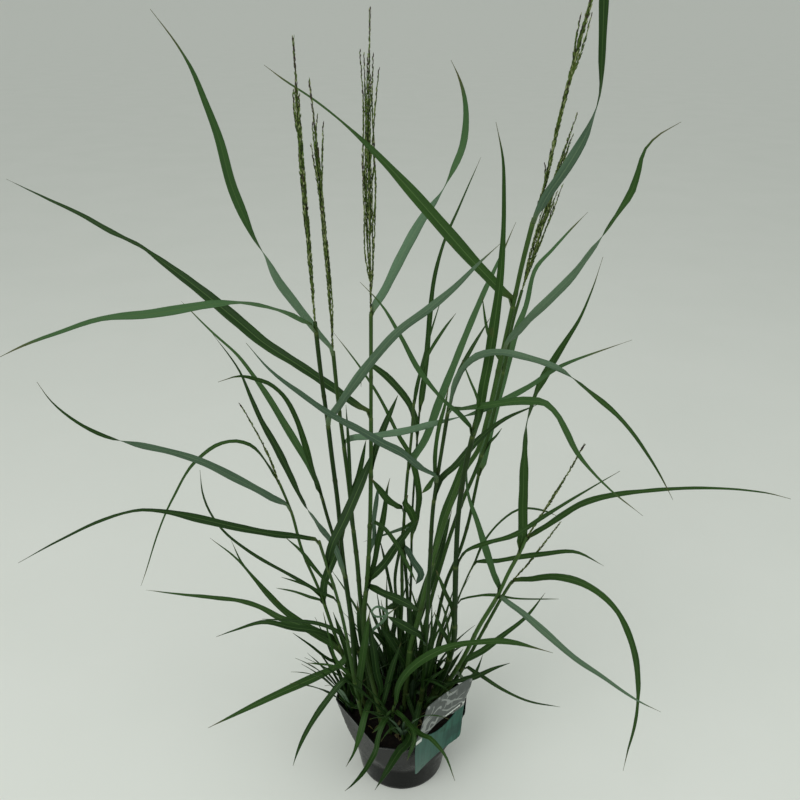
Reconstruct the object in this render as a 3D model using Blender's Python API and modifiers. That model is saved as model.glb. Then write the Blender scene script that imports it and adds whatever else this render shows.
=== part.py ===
"""A potted switchgrass: a dark plastic nursery pot with a square rim and a round base,
its soil, a folded card label, and a clump of stems with long arching leaves and upright
flower panicles.

Metres, +Z up. The origin is the centre of the pot's underside, and -Y is the front.

The plant is drawn from one viewpoint in front of it. A stem or leaf is a short list of
points in an 800 x 800 picture seen from there, and each point is carried into space along
its line of sight, onto the leaning plane of the stem or the upright plane of the leaf.
"""
import math
import random
from collections import namedtuple

import bmesh
import bpy
import numpy as np
from mathutils import Matrix, Vector

# Viewpoint: the eye, how far it looks down, and the picture's centre and scale in pixels
EYE = Vector((-0.0025, -0.915, 1.100))
LOOK_DOWN = math.radians(26.4)
PICTURE_CENTRE = 400
PICTURE_SCALE = 800

# Gap between pieces that touch
GAP = 0.0004

# Pot: a round cone in its lower part, whose corners flare out above that to a square rim with
# cut corners. Its outline is drawn at the foot, at these heights and at the rim.
POT_HEIGHT = 0.130
POT_BASE_RADIUS = 0.066
POT_FLATS = 0.0865
POT_CORNER_CUT = 0.031
POT_FLARE_START = 0.050
POT_FLARE_RADIUS = 0.112
POT_SEGMENTS = 44
POT_TURN = math.radians(37)
POT_WALL = 0.0014
POT_FLOOR = 0.0020
DRAIN_COUNT = 5
DRAIN_RADIUS = 0.006
DRAIN_CIRCLE = 0.042

# Soil
SOIL_TOP = 0.108
POT_RINGS = (POT_FLARE_START, 0.066, 0.085, SOIL_TOP)

# Label: a card against the front right flat of the rim, turned a little in its own plane and
# bent outward above a lens-shaped slot
LABEL_WIDTH = 0.088
LABEL_BELOW_SLOT = 0.057
LABEL_ABOVE_SLOT = 0.066
LABEL_SLOT_PLACE = 0.1425
LABEL_ALONG = 0.004
LABEL_TURN = math.radians(9)
LABEL_SKEW = 0.28
LABEL_LEAN = math.radians(6)
LABEL_SLOT_LENGTH = 0.056
LABEL_SLOT_HALF_HEIGHT = 0.009
LABEL_THICKNESS = 0.0006

# Grass
STEM_GIRTH = 0.0050
STEM_TAPER = 0.22
BLADE_THICKNESS = 0.0006
BLADE_END = 0.0010
BLADE_STEP = 0.042
STEM_STEP = 0.075

COLLECTION = "potted_switchgrass"
CUTTERS = "cutters"

# A stem: where it stands on the soil, how much it leans back for each metre of height, its
# thickness against STEM_GIRTH, and its points from low to high
Stem = namedtuple("Stem", "root lean girth points")

STEMS = {
    "stem_01": Stem((368, 712), -0.10, 1.0, [
        (357, 680), (354, 650), (350, 610), (345, 575), (342, 550), (338, 505), (331, 450),
        (328, 425), (321, 375), (315, 322)]),
    "stem_02": Stem((378, 712), 0.05, 1.0, [
        (371, 690), (366, 660), (363, 625), (360, 595), (357, 560), (354, 535), (347, 470),
        (344, 447), (338, 400), (333, 351)]),
    "stem_03": Stem((382, 728), 0.18, 1.0, [
        (377, 700), (370, 672), (365, 640), (364, 612), (367, 582), (370, 520), (371, 455),
        (371, 418), (371, 350), (371, 312)]),
    "stem_04": Stem((404, 710), -0.05, 1.1, [
        (407, 680), (412, 640), (418, 620), (433, 560), (447, 515), (465, 470), (478, 450),
        (487, 420), (503, 350), (513, 306), (522, 265), (534, 218)]),
    "stem_05": Stem((413, 700), 0.14, 0.9, [
        (416, 680), (422, 640), (431, 600), (441, 565), (452, 530), (463, 500), (476, 470),
        (487, 440), (497, 400), (505, 365), (513, 322), (522, 290)]),
    "stem_06": Stem((430, 704), -0.16, 1.0, [
        (447, 683), (462, 660), (480, 625), (497, 597), (510, 570), (520, 552), (527, 537)]),
    "stem_07": Stem((438, 699), 0.06, 0.9, [
        (453, 683), (468, 658), (488, 622), (505, 592), (512, 581)]),
    "stem_08": Stem((360, 700), 0.18, 0.8, [
        (354, 685), (345, 660), (335, 635), (320, 592), (302, 550), (291, 511), (278, 480)]),
    "stem_09": Stem((372, 702), 0.04, 0.9, [
        (364, 675), (356, 640), (349, 600), (341, 560), (333, 535), (326, 512), (319, 486)]),
    "stem_10": Stem((364, 722), -0.20, 0.8, [
        (356, 690), (349, 650), (343, 620), (335, 590), (325, 560), (319, 541)]),
    "stem_11": Stem((419, 718), -0.12, 0.9, [
        (423, 685), (426, 640), (428, 600), (430, 560), (434, 500), (437, 480), (445, 430),
        (449, 405)]),
    "stem_12": Stem((393, 697), 0.12, 0.8, [
        (396, 670), (400, 635), (402, 600), (402, 560), (404, 520), (407, 480), (412, 430),
        (414, 400)]),
    "stem_13": Stem((425, 708), -0.20, 1.2, [
        (441, 680), (452, 650), (455, 600), (456, 560), (460, 500), (466, 465), (474, 430)]),
    "stem_14": Stem((421, 693), 0.19, 0.9, [
        (427, 670), (436, 625), (447, 580), (460, 550), (469, 520), (475, 492), (480, 468)]),
    "stem_15": Stem((402, 690), 0.34, 0.6, [
        (406, 660), (409, 620), (411, 580), (412, 520), (415, 470), (418, 430), (420, 405)]),
    "stem_16": Stem((444, 692), 0.02, 0.5, [
        (447, 670), (451, 630), (458, 600), (466, 580), (475, 561)]),
    "stem_17": Stem((391, 733), -0.10, 0.9, [
        (392, 718), (394, 706)]),
}

# A panicle: the stem that it tops, its greatest radius, and its points from low to high
Panicle = namedtuple("Panicle", "stem radius points")

PANICLES = {
    "panicle_01": Panicle("stem_01", 0.0045, [
        (312, 290), (306, 215), (300, 140), (296, 80), (293, 38)]),
    "panicle_02": Panicle("stem_02", 0.0050, [
        (330, 300), (324, 230), (318, 160), (313, 112), (309, 80)]),
    "panicle_03": Panicle("stem_03", 0.0070, [
        (370, 260), (369, 200), (368, 130), (369, 70), (370, 9)]),
    "panicle_04": Panicle("stem_04", 0.0065, [
        (543, 190), (557, 130), (572, 70), (587, 15), (601, -45)]),
    "panicle_05": Panicle("stem_05", 0.0050, [
        (533, 255), (545, 215), (560, 165), (577, 114)]),
}

# Thin young panicles, grown on with their stems
SPIKES = {
    "stem_06": Panicle("stem_06", 0.0028, [(541, 515), (558, 490), (584, 445)]),
    "stem_07": Panicle("stem_07", 0.0028, [(525, 567), (535, 555), (560, 523)]),
    "stem_08": Panicle("stem_08", 0.0026, [(270, 460), (258, 435), (240, 404)]),
}

# A leaf: its stem and the picture row of its node there, the compass direction that it grows
# in (0 to the right, 90 away from the viewer, 180 to the left, 270 towards the viewer), its
# greatest width in millimetres, and its points. The third number of a point is the width seen
# there in pixels: above zero where the upper face shows, and below zero for the underside.
Leaf = namedtuple("Leaf", "stem row heading width points")

LEAVES = {
    "leaf_01": Leaf("stem_02", 351, 212, 11, [
        (315, 330, -6), (293, 301, -9), (278, 281, -8), (265, 256, -3), (255, 240, 4), (242, 212, 9),
        (233, 190, 10), (217, 133, 8), (204, 99, 6), (190, 66, 4), (178, 46, 2), (150, 9, 1)]),
    "leaf_02": Leaf("stem_04", 306, 152, 14, [
        (500, 290, 9), (470, 258, 12), (447, 232, 13), (410, 190, 11), (390, 168, 8), (360, 138, 4),
        (340, 120, 2), (313, 99, 3), (280, 77, 2), (264, 65, 1)]),
    "leaf_03": Leaf("stem_03", 314, 35, 11, [
        (385, 290, 8), (405, 250, 10), (425, 215, 8), (440, 195, 3), (452, 172, -5), (463, 145, -7),
        (466, 120, -6), (465, 100, -5), (458, 75, -3), (451, 60, -1)]),
    "leaf_04": Leaf("stem_03", 418, 157, 14, [
        (340, 397, 6), (300, 367, 9), (260, 340, 11), (240, 323, 12), (200, 290, 10), (160, 260, 6),
        (145, 249, 3), (110, 231, 5), (80, 214, 4), (50, 200, 3), (6, 179, 1)]),
    "leaf_05": Leaf("stem_01", 332, 196, 11, [
        (300, 320, 4), (265, 307, 3), (240, 303, 2), (215, 304, 7), (170, 311, 9), (150, 314, 9),
        (100, 319, 5), (60, 332, 4), (20, 347, 3), (-4, 359, 1)]),
    "leaf_06": Leaf("stem_04", 222, 322, 12, [
        (545, 200, -8), (565, 170, -11), (588, 130, -7), (600, 95, 3), (602, 60, 6), (603, 30, 8),
        (604, 0, 10), (605, -40, 7), (601, -80, 3), (596, -105, 1)]),
    "leaf_07": Leaf("stem_04", 350, 322, 11, [
        (522, 327, -9), (553, 296, -9), (568, 281, -8), (596, 245, -3), (622, 207, 6), (631, 193, 7),
        (637, 176, 6), (646, 148, 3), (655, 138, 2), (681, 122, 1)]),
    "leaf_08": Leaf("stem_14", 476, 48, 11, [
        (490, 430, 8), (497, 400, 9), (505, 370, 9), (515, 335, 7), (526, 306, 5), (535, 270, 4),
        (553, 249, 3), (576, 224, 2), (588, 212, 1)]),
    "leaf_09": Leaf("stem_13", 436, 50, 12, [
        (480, 410, 8), (484, 385, 9), (488, 365, 10), (492, 340, 10), (499, 290, 8), (503, 240, 5),
        (504, 200, 4), (503, 160, 3), (496, 122, 1)]),
    "leaf_10": Leaf("stem_12", 470, 42, 9, [
        (425, 440, 7), (440, 400, 8), (450, 375, 7), (470, 325, 6), (485, 290, 5), (500, 258, 3),
        (516, 222, 1)]),
    "leaf_11": Leaf("stem_01", 425, 325, 12, [
        (340, 405, -7), (350, 390, -9), (375, 357, -9), (400, 330, -8), (430, 308, -8), (455, 287, -6),
        (475, 267, -4), (501, 243, -1)]),
    "leaf_12": Leaf("stem_13", 432, 165, 8, [
        (460, 415, 4), (445, 402, 4), (430, 385, 4), (420, 372, 5), (400, 335, 4), (380, 303, 2),
        (360, 282, 1)]),
    "leaf_13": Leaf("stem_02", 447, 330, 8, [
        (375, 436, -4), (400, 432, -4), (440, 422, -4), (480, 411, 5), (500, 402, 6), (530, 386, 5),
        (557, 368, 4), (600, 351, 2), (632, 340, 1)]),
    "leaf_14": Leaf("stem_11", 408, 335, 9, [
        (455, 385, -5), (462, 370, -6), (480, 355, -7), (495, 352, -7), (525, 357, -6), (557, 368, -6),
        (590, 392, 5), (620, 418, 4), (648, 455, 3), (667, 488, 2), (673, 500, 1)]),
    "leaf_15": Leaf("stem_11", 413, 318, 9, [
        (462, 409, -4), (490, 405, -6), (530, 401, -8), (545, 403, -7), (556, 413, 5), (566, 431, 6),
        (576, 451, 5), (589, 468, 3), (604, 484, 2), (643, 516, 1)]),
    "leaf_16": Leaf("stem_06", 553, 150, 9, [
        (523, 500, 7), (524, 460, 6), (526, 425, 2), (533, 400, 5), (545, 375, 8), (560, 350, 6),
        (580, 318, 3), (592, 290, 2), (603, 257, 1)]),
    "leaf_17": Leaf("stem_06", 598, 308, 8, [
        (510, 604, -5), (520, 611, -6), (540, 628, -7), (580, 662, -5), (600, 675, -4), (640, 702, -2),
        (661, 712, -1)]),
    "leaf_18": Leaf("stem_07", 583, 328, 9, [
        (532, 579, 5), (558, 577, 7), (584, 584, 7), (599, 593, 6), (617, 611, 5), (627, 630, 6),
        (635, 655, 6), (638, 681, 5), (638, 699, 3), (635, 724, 3), (628, 750, 2), (623, 771, 1)]),
    "leaf_19": Leaf("stem_06", 541, 348, 8, [
        (548, 525, 5), (563, 515, 6), (579, 505, 6), (599, 498, 6), (619, 494, 5), (645, 491, 4),
        (693, 488, 3), (744, 490, 2), (767, 493, 2), (791, 499, 1)]),
    "leaf_20": Leaf("stem_08", 655, 155, 11, [
        (320, 637, 6), (300, 625, 8), (280, 618, 6), (262, 608, 5), (245, 602, 4), (217, 598, 4),
        (178, 594, 2), (146, 590, 1)]),
    "leaf_21": Leaf("stem_10", 541, 200, 10, [
        (300, 537, 5), (280, 535, 6), (240, 528, 7), (200, 519, 8), (160, 511, 4), (140, 510, 2),
        (120, 514, 3), (100, 521, 3), (60, 540, 2), (18, 563, 1)]),
    "leaf_22": Leaf("stem_08", 511, 208, 11, [
        (270, 497, -6), (235, 478, -8), (200, 461, -7), (175, 453, -6), (130, 443, -4), (110, 438, 3),
        (80, 424, 3), (50, 400, 2), (37, 382, 1)]),
    "leaf_23": Leaf("stem_09", 492, 135, 8, [
        (310, 468, 5), (300, 450, 7), (285, 425, 7), (270, 400, 6), (253, 375, 4), (240, 358, 3),
        (212, 332, 2), (181, 301, 1)]),
    "leaf_24": Leaf("stem_09", 498, 220, 8, [
        (314, 475, 4), (308, 455, 6), (303, 438, 6), (296, 418, 5), (280, 392, 4), (268, 383, 4),
        (255, 379, 4), (240, 376, 3), (218, 382, 1)]),
    "leaf_25": Leaf("stem_01", 575, 228, 9, [
        (335, 548, -5), (320, 527, -5), (302, 500, 3), (290, 475, 6), (275, 445, 7), (262, 422, 5),
        (252, 400, 4), (240, 372, 2), (212, 333, 1)]),
    "leaf_26": Leaf("stem_11", 482, 222, 11, [
        (420, 468, -5), (400, 452, -8), (380, 442, -8), (365, 433, -7), (330, 414, -6), (300, 393, -5),
        (270, 370, -3), (246, 343, -1)]),
    "leaf_27": Leaf("stem_15", 540, 125, 9, [
        (417, 515, 5), (419, 495, 6), (416, 475, 6), (410, 455, 5), (400, 438, 4), (381, 400, 3),
        (362, 370, 2), (334, 333, 1)]),
    "leaf_28": Leaf("stem_09", 650, 204, 13, [
        (340, 665, 5), (320, 675, 8), (300, 684, 8), (280, 693, 7), (240, 712, 4), (208, 728, 1)]),
    "leaf_29": Leaf("stem_03", 585, 20, 12, [
        (385, 563, -8), (393, 551, -8), (400, 541, -7), (409, 530, -5), (418, 520, -3)]),
    "leaf_30": Leaf("stem_17", 708, 350, 11, [
        (399, 685, 5), (405, 675, 7), (415, 665, 8), (430, 655, 8), (456, 645, 6), (480, 642, 5),
        (502, 641, 6), (517, 643, 5), (532, 647, 3), (553, 653, 1)]),
}

# Smaller blades, grown on with the stem that carries them
SMALL_LEAVES = [
    Leaf("stem_11", 500, 20, 6, [
        (440, 480, 4), (455, 466, 5), (478, 440, 4), (500, 422, 3), (541, 403, 1)]),
    Leaf("stem_06", 592, 160, 8, [
        (492, 570, 5), (484, 545, 6), (476, 520, 5), (469, 498, 3), (466, 452, 1)]),
    Leaf("stem_13", 566, 350, 7, [
        (464, 553, 3), (487, 543, 4), (512, 536, 5), (543, 517, 4), (584, 492, 2), (620, 471, 1)]),
    Leaf("stem_16", 566, 348, 7, [
        (497, 561, 4), (520, 557, 5), (543, 554, 5), (576, 552, 3), (604, 566, 1)]),
    Leaf("stem_16", 570, 25, 4, [
        (485, 540, 2), (500, 522, 2), (515, 511, 2), (545, 511, 2), (557, 516, 1)]),
    Leaf("stem_16", 604, 5, 4, [
        (476, 596, 2), (494, 595, 3), (512, 598, 2), (559, 599, 1)]),
    Leaf("stem_06", 666, 25, 9, [
        (484, 650, 6), (502, 636, 5), (527, 616, 3), (545, 593, 1)]),
    Leaf("stem_07", 668, 325, 6, [
        (475, 672, 4), (500, 688, 3), (525, 700, 2), (560, 707, 1)]),
    Leaf("stem_13", 690, 3, 7, [
        (458, 681, 4), (472, 678, 5), (495, 668, 3), (510, 663, 1)]),
    Leaf("stem_08", 484, 195, 6, [
        (268, 465, 4), (248, 444, 4), (235, 441, 4), (222, 443, 4), (197, 460, 3), (172, 500, 2),
        (141, 586, 1)]),
    Leaf("stem_08", 645, 188, 9, [
        (325, 634, 5), (290, 627, 6), (265, 622, 4), (235, 630, 2), (216, 637, 1)]),
    Leaf("stem_08", 660, 140, 5, [
        (310, 633, 3), (275, 604, 3), (237, 559, 2), (210, 538, 1)]),
    Leaf("stem_10", 602, 188, 5, [
        (320, 592, 3), (290, 575, 3), (250, 552, 3), (220, 527, 2), (203, 495, 2), (200, 470, 1)]),
    Leaf("stem_10", 700, 215, 10, [
        (345, 680, 5), (325, 703, 6), (312, 722, 5), (298, 750, 3), (293, 766, 1)]),
    Leaf("stem_02", 700, 254, 10, [
        (366, 712, 6), (360, 735, 6), (355, 750, 3), (346, 767, 1)]),
    Leaf("stem_15", 440, 165, 8, [
        (410, 405, 5), (395, 385, 5), (380, 371, 4), (372, 366, 4), (363, 370, 3), (361, 387, 1)]),
    Leaf("stem_15", 412, 35, 7, [
        (426, 365, 5), (430, 315, 5), (434, 280, 4), (443, 245, 3), (460, 205, 2), (481, 157, 1)]),
    Leaf("stem_03", 590, 325, 11, [
        (385, 594, 7), (400, 600, 8), (411, 606, 7), (420, 612, 3)]),
    Leaf("stem_10", 570, 55, 10, [
        (332, 545, 7), (342, 525, 8), (355, 496, 7), (370, 458, 2)]),
    Leaf("stem_11", 700, 254, 8, [
        (417, 715, 4), (412, 735, 6), (396, 760, 6), (385, 775, 4), (375, 790, 1)]),
]

# A tuft of short basal leaves: its place on the soil, the direction that it fans towards, how
# many blades it has, and the seed of their differences
Tuft = namedtuple("Tuft", "place facing blades seed")

TUFTS = {
    "tuft_left": Tuft((-0.080, -0.010), 185, 8, 9),
    "tuft_back": Tuft((-0.024, 0.060), 122, 6, 5),
    "tuft_right": Tuft((0.048, 0.056), 55, 6, 4),
    "tuft_front": Tuft((0.002, -0.062), 240, 7, 8),
}
TUFT_FAN = 120
TUFT_MOUND_RADIUS = 0.010
TUFT_MOUND_HEIGHT = 0.010
TUFT_BLADE_LENGTH = 0.165
TUFT_BLADE_WIDTH = 0.007
TUFT_BLADE_STEPS = 5


def clear_scene():
    for item in list(bpy.data.objects):
        bpy.data.objects.remove(item)


def new_collection(name):
    group = bpy.data.collections.new(name)
    bpy.context.scene.collection.children.link(group)
    return group


def new_material(name, colour, roughness, metallic=0.0):
    material = bpy.data.materials.new(name)
    material.use_nodes = True
    shader = material.node_tree.nodes["Principled BSDF"]
    shader.inputs["Base Color"].default_value = (*colour, 1.0)
    shader.inputs["Roughness"].default_value = roughness
    shader.inputs["Metallic"].default_value = metallic
    return material


def add_object(name, data, group, material=None):
    item = bpy.data.objects.new(name, data)
    group.objects.link(item)
    if material:
        data.materials.append(material)
    return item


def add_bmesh(name, bm, group, material=None):
    mesh = bpy.data.meshes.new(name)
    bm.to_mesh(mesh)
    bm.free()
    return add_object(name, mesh, group, material)


def hide_cutter(item):
    item.hide_render = True
    item.display_type = "WIRE"


def add_boolean(item, other, operation):
    modifier = item.modifiers.new(other.name, "BOOLEAN")
    modifier.operation = operation
    modifier.object = other


# Sight lines

def sight(u, v):
    """The direction in space of a point of the picture."""
    forward = Vector((0, math.cos(LOOK_DOWN), -math.sin(LOOK_DOWN)))
    down = Vector((0, -math.sin(LOOK_DOWN), -math.cos(LOOK_DOWN)))
    right = Vector((1, 0, 0))
    return (forward * PICTURE_SCALE + right * (u - PICTURE_CENTRE)
            + down * (v - PICTURE_CENTRE))


def meet(u, v, point, normal):
    """Where the sight line through a picture point meets a plane."""
    ray = sight(u, v)
    return EYE + ray * ((point - EYE).dot(normal) / ray.dot(normal))


def depth_of(point):
    """How far a point lies in front of the eye, along the axis of view."""
    forward = Vector((0, math.cos(LOOK_DOWN), -math.sin(LOOK_DOWN)))
    return (point - EYE).dot(forward)


def row_of(point):
    """The picture row of a point in space."""
    down = Vector((0, -math.sin(LOOK_DOWN), -math.cos(LOOK_DOWN)))
    return PICTURE_CENTRE + PICTURE_SCALE * (point - EYE).dot(down) / depth_of(point)


def along(rows, count):
    """Rows of numbers, a place first, read at even steps along the smooth curve through them."""
    rows = np.array(rows, float)
    steps = np.linalg.norm(np.diff(rows[:, :3], axis=0), axis=1)
    at = np.concatenate([[0], np.cumsum(steps)])
    slopes = np.gradient(rows, at, axis=0)
    reach = np.linspace(0, at[-1], count + 1)
    i = np.clip(np.searchsorted(at, reach) - 1, 0, len(steps) - 1)
    h = steps[i][:, None]
    t = (reach - at[i])[:, None] / h
    return (rows[i] * (1 + 2 * t) * (1 - t) ** 2 + slopes[i] * h * t * (1 - t) ** 2
            + rows[i + 1] * t ** 2 * (3 - 2 * t) + slopes[i + 1] * h * t ** 2 * (t - 1))


def length_of(points):
    return sum((b - a).length for a, b in zip(points, points[1:]))


# Pot, soil and label

def add_frustum(name, low, high, low_radius, high_radius, group, segments=48):
    bm = bmesh.new()
    bmesh.ops.create_cone(bm, cap_ends=True, segments=segments, radius1=low_radius,
                          radius2=high_radius, depth=high - low,
                          matrix=Matrix.Translation((0, 0, (low + high) / 2)))
    return add_bmesh(name, bm, group)


def cone_radius(height):
    """The round cone that the four flats of the rim lie against."""
    return POT_BASE_RADIUS + (POT_FLATS - POT_BASE_RADIUS) * height / POT_HEIGHT


def wall_radius(turn, height):
    """How far the pot's wall reaches in a direction: the least of a cone, its flats and corners."""
    flats = cone_radius(height)
    flare = max(0, height - POT_FLARE_START) / (POT_HEIGHT - POT_FLARE_START)
    rim_corner = (2 * POT_FLATS - POT_CORNER_CUT) / math.sqrt(2)
    corner = flats + (rim_corner - POT_FLATS) * flare
    reach = [flats + (POT_FLARE_RADIUS - POT_FLATS) * flare]
    for side in range(8):
        facing = math.cos(turn - POT_TURN - side * math.pi / 4)
        if facing > 0.5:
            reach.append((corner if side % 2 else flats) / facing)
    return min(reach)


def add_pot_body(name, low, high, inset, group):
    """A closed body with the pot's outline from one height to another, drawn in by the inset."""
    heights = [low] + [ring for ring in POT_RINGS if low < ring < high] + [high]
    if high > POT_HEIGHT:
        heights.insert(-1, POT_HEIGHT)
    bm = bmesh.new()
    start = Vector((math.cos(POT_TURN), math.sin(POT_TURN), 0))
    profile = [bm.verts.new(start + Vector((0, 0, height))) for height in heights]
    edges = [bm.edges.new(pair) for pair in zip(profile, profile[1:])]
    bmesh.ops.spin(bm, geom=profile + edges, cent=(0, 0, 0), axis=(0, 0, 1), dvec=(0, 0, 0),
                   angle=2 * math.pi, steps=POT_SEGMENTS, use_merge=True)
    bmesh.ops.remove_doubles(bm, verts=bm.verts, dist=1e-5)
    bmesh.ops.holes_fill(bm, edges=[e for e in bm.edges if e.is_boundary], sides=0)
    for vert in bm.verts:
        turn = math.atan2(vert.co.y, vert.co.x)
        radius = wall_radius(turn, vert.co.z) - inset
        vert.co.x = radius * math.cos(turn)
        vert.co.y = radius * math.sin(turn)
    bmesh.ops.recalc_face_normals(bm, faces=bm.faces)
    return add_bmesh(name, bm, group)


def build_pot(parts, cutters, material):
    pot = add_pot_body("pot", 0, POT_HEIGHT, 0, parts)
    pot.data.materials.append(material)
    over = 0.02
    hollow = add_pot_body("pot_hollow", POT_FLOOR, POT_HEIGHT + over, POT_WALL, cutters)
    hide_cutter(hollow)
    add_boolean(pot, hollow, "DIFFERENCE")

    for number in range(DRAIN_COUNT):
        turn = 2 * math.pi * number / DRAIN_COUNT
        drain = add_frustum(f"drain_{number + 1}", -0.01, 0.01, DRAIN_RADIUS, DRAIN_RADIUS,
                            cutters, segments=10)
        drain.location = (DRAIN_CIRCLE * math.cos(turn), DRAIN_CIRCLE * math.sin(turn), 0)
        hide_cutter(drain)
        add_boolean(pot, drain, "DIFFERENCE")
    return pot


def build_soil(parts, material):
    soil = add_pot_body("soil", POT_FLOOR + GAP, SOIL_TOP, POT_WALL + GAP, parts)
    soil.data.materials.append(material)
    return soil


def build_label(parts, material):
    """A flat card with a slot across its middle, set against the rim and bent at the slot."""
    columns, rows = 6, 8
    slot_share = LABEL_SLOT_LENGTH / LABEL_WIDTH / 2
    bm = bmesh.new()
    bmesh.ops.create_grid(bm, x_segments=columns, y_segments=rows, size=0.5)
    slot = [face for face in bm.faces if abs(face.calc_center_median().x) < slot_share
            and abs(face.calc_center_median().y) < 1 / rows]
    bmesh.ops.delete(bm, geom=slot, context="FACES")

    facing = POT_TURN - math.pi / 2
    outward = Vector((math.cos(facing), math.sin(facing), 0))
    sideways = Vector((-outward.y, outward.x, 0))
    middle = (outward * (POT_FLATS + GAP + LABEL_THICKNESS) + sideways * LABEL_ALONG
              + Vector((0, 0, LABEL_SLOT_PLACE)))
    for vert in bm.verts:
        up = 2 * vert.co.y * (LABEL_ABOVE_SLOT if vert.co.y > 0 else LABEL_BELOW_SLOT)
        across = vert.co.x * LABEL_WIDTH + up * LABEL_SKEW
        if 0 < abs(vert.co.y) < 1.5 / rows:
            lens = 1 - min(1, abs(vert.co.x) / (slot_share + 0.1)) ** 2
            up = math.copysign(LABEL_SLOT_HALF_HEIGHT * (0.3 + 0.7 * lens), up)
        along_rim = across * math.cos(LABEL_TURN) - up * math.sin(LABEL_TURN)
        lift = across * math.sin(LABEL_TURN) + up * math.cos(LABEL_TURN)
        lean = LABEL_LEAN if up > 0 else 0
        vert.co = middle + sideways * along_rim + Vector((0, 0, lift)) + outward * (up * math.sin(lean))
    label = add_bmesh("label", bm, parts, material)
    solid = label.modifiers.new("thickness", "SOLIDIFY")
    solid.thickness = LABEL_THICKNESS
    solid.offset = 0
    return label


# Stems and panicles

def stem_plane(stem):
    root = meet(*stem.root, Vector((0, 0, SOIL_TOP + GAP)), Vector((0, 0, 1)))
    return root, Vector((0, 1, -stem.lean))


def stem_route(stem):
    """The stem's own points in space, from the soil up."""
    root, normal = stem_plane(stem)
    return [root] + [meet(u, v, root, normal) for u, v in stem.points]


def stem_places(stem):
    """Even steps up the stem, the first one upright so that its foot is level."""
    route = stem_route(stem)
    count = max(3, round(length_of(route) / STEM_STEP))
    places = [Vector(row) for row in along(route, count)]
    foot = route[0]
    return [foot, foot + Vector((0, 0, STEM_GIRTH))] + places[1:]


def stem_radius(stem, share):
    return STEM_GIRTH / 2 * stem.girth * (1 - STEM_TAPER * share)


def tube(name, places, radii, group, material):
    """A closed tube through the places, with a radius of its own at each."""
    curve = bpy.data.curves.new(name, "CURVE")
    curve.dimensions = "3D"
    curve.bevel_depth = 1.0
    curve.bevel_resolution = 1
    curve.use_fill_caps = True
    spline = curve.splines.new("POLY")
    spline.points.add(len(places) - 1)
    for point, place, radius in zip(spline.points, places, radii):
        point.co = (*place, 1)
        point.radius = radius
    return add_object(name, curve, group, material)


def as_mesh(item):
    """The same piece as a mesh, its caps welded on."""
    scene = bpy.context.evaluated_depsgraph_get()
    mesh = bpy.data.meshes.new_from_object(item.evaluated_get(scene))
    bm = bmesh.new()
    bm.from_mesh(mesh)
    bmesh.ops.remove_doubles(bm, verts=bm.verts, dist=1e-6)
    bmesh.ops.recalc_face_normals(bm, faces=bm.faces)
    bm.to_mesh(mesh)
    bm.free()
    name, group, matrix = item.name, item.users_collection[0], item.matrix_world.copy()
    material = item.data.materials[0]
    bpy.data.objects.remove(item)
    solid = add_object(name, mesh, group)
    solid.matrix_world = matrix
    if not mesh.materials:
        mesh.materials.append(material)
    return solid


def build_stem(name, group, material):
    stem = STEMS[name]
    places = stem_places(stem)
    radii = [stem_radius(stem, i / (len(places) - 1)) for i in range(len(places))]
    if name in SPIKES:
        spike = SPIKES[name]
        root, normal = stem_plane(stem)
        tip = [meet(u, v, root, normal) for u, v in spike.points]
        shares = [0.6, 1.0, 0.2]
        places += tip
        radii += [max(0.0006, spike.radius * share) for share in shares]
    return tube(name, places, radii, group, material)


def build_panicle(name, group, material):
    panicle = PANICLES[name]
    stem = STEMS[panicle.stem]
    root, normal = stem_plane(stem)
    top = stem_route(stem)[-1]
    route = [meet(u, v, root, normal) for u, v in panicle.points]
    route.insert(0, top + (route[0] - top).normalized() * 2 * GAP)
    count = 7
    places = [Vector(row) for row in along(route, count)]
    radii = [panicle.radius * share for share in (0.25, 0.7, 0.95, 1.0, 0.95, 0.75, 0.45, 0.1)]
    return tube(name, places, radii, group, material)


# Leaves

def blade_share(t):
    """A grass blade's width along its length: narrow at the collar, drawn out to a point."""
    return min(1, 0.6 + 2 * t) * (1 - t ** 2.4)


def stem_at(stem, row):
    """The place on a stem at a picture row, and the stem's radius there."""
    places = stem_places(stem)
    rows = [row_of(place) for place in places]
    upper = next((i for i, height in enumerate(rows) if height <= row), len(rows) - 1)
    share = (rows[upper - 1] - row) / (rows[upper - 1] - rows[upper])
    radius = stem_radius(stem, (upper - 1) / (len(places) - 1))
    return places[upper - 1].lerp(places[upper], min(1, share)), radius


def leaf_foot(leaf, sunk):
    """Where the leaf leaves its stem: just clear of it, on the leaf's side, unless sunk."""
    stem = STEMS[leaf.stem]
    foot, radius = stem_at(stem, leaf.row)
    if sunk:
        return foot
    direction = leaf_direction(leaf)
    column, row, _ = leaf.points[0]
    first = meet(column, row, foot, direction.cross(Vector((0, 0, 1))))
    beside, _ = stem_at(stem, row)
    outward = direction * math.copysign(1, (first - beside).dot(direction))
    return foot + outward * (radius + GAP + BLADE_THICKNESS / 2)


def leaf_direction(leaf):
    turn = math.radians(leaf.heading)
    return Vector((math.cos(turn), math.sin(turn), 0))


def leaf_route(leaf, sunk):
    """Places along the midrib, each with the width seen there in pixels."""
    foot = leaf_foot(leaf, sunk)
    direction = leaf_direction(leaf)
    normal = Vector((-direction.y, direction.x, 0))
    first_seen = leaf.points[0][2]
    rows = [(*foot, 0.7 * first_seen)]
    rows += [(*meet(u, v, foot, normal), seen) for u, v, seen in leaf.points]
    return rows


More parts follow.
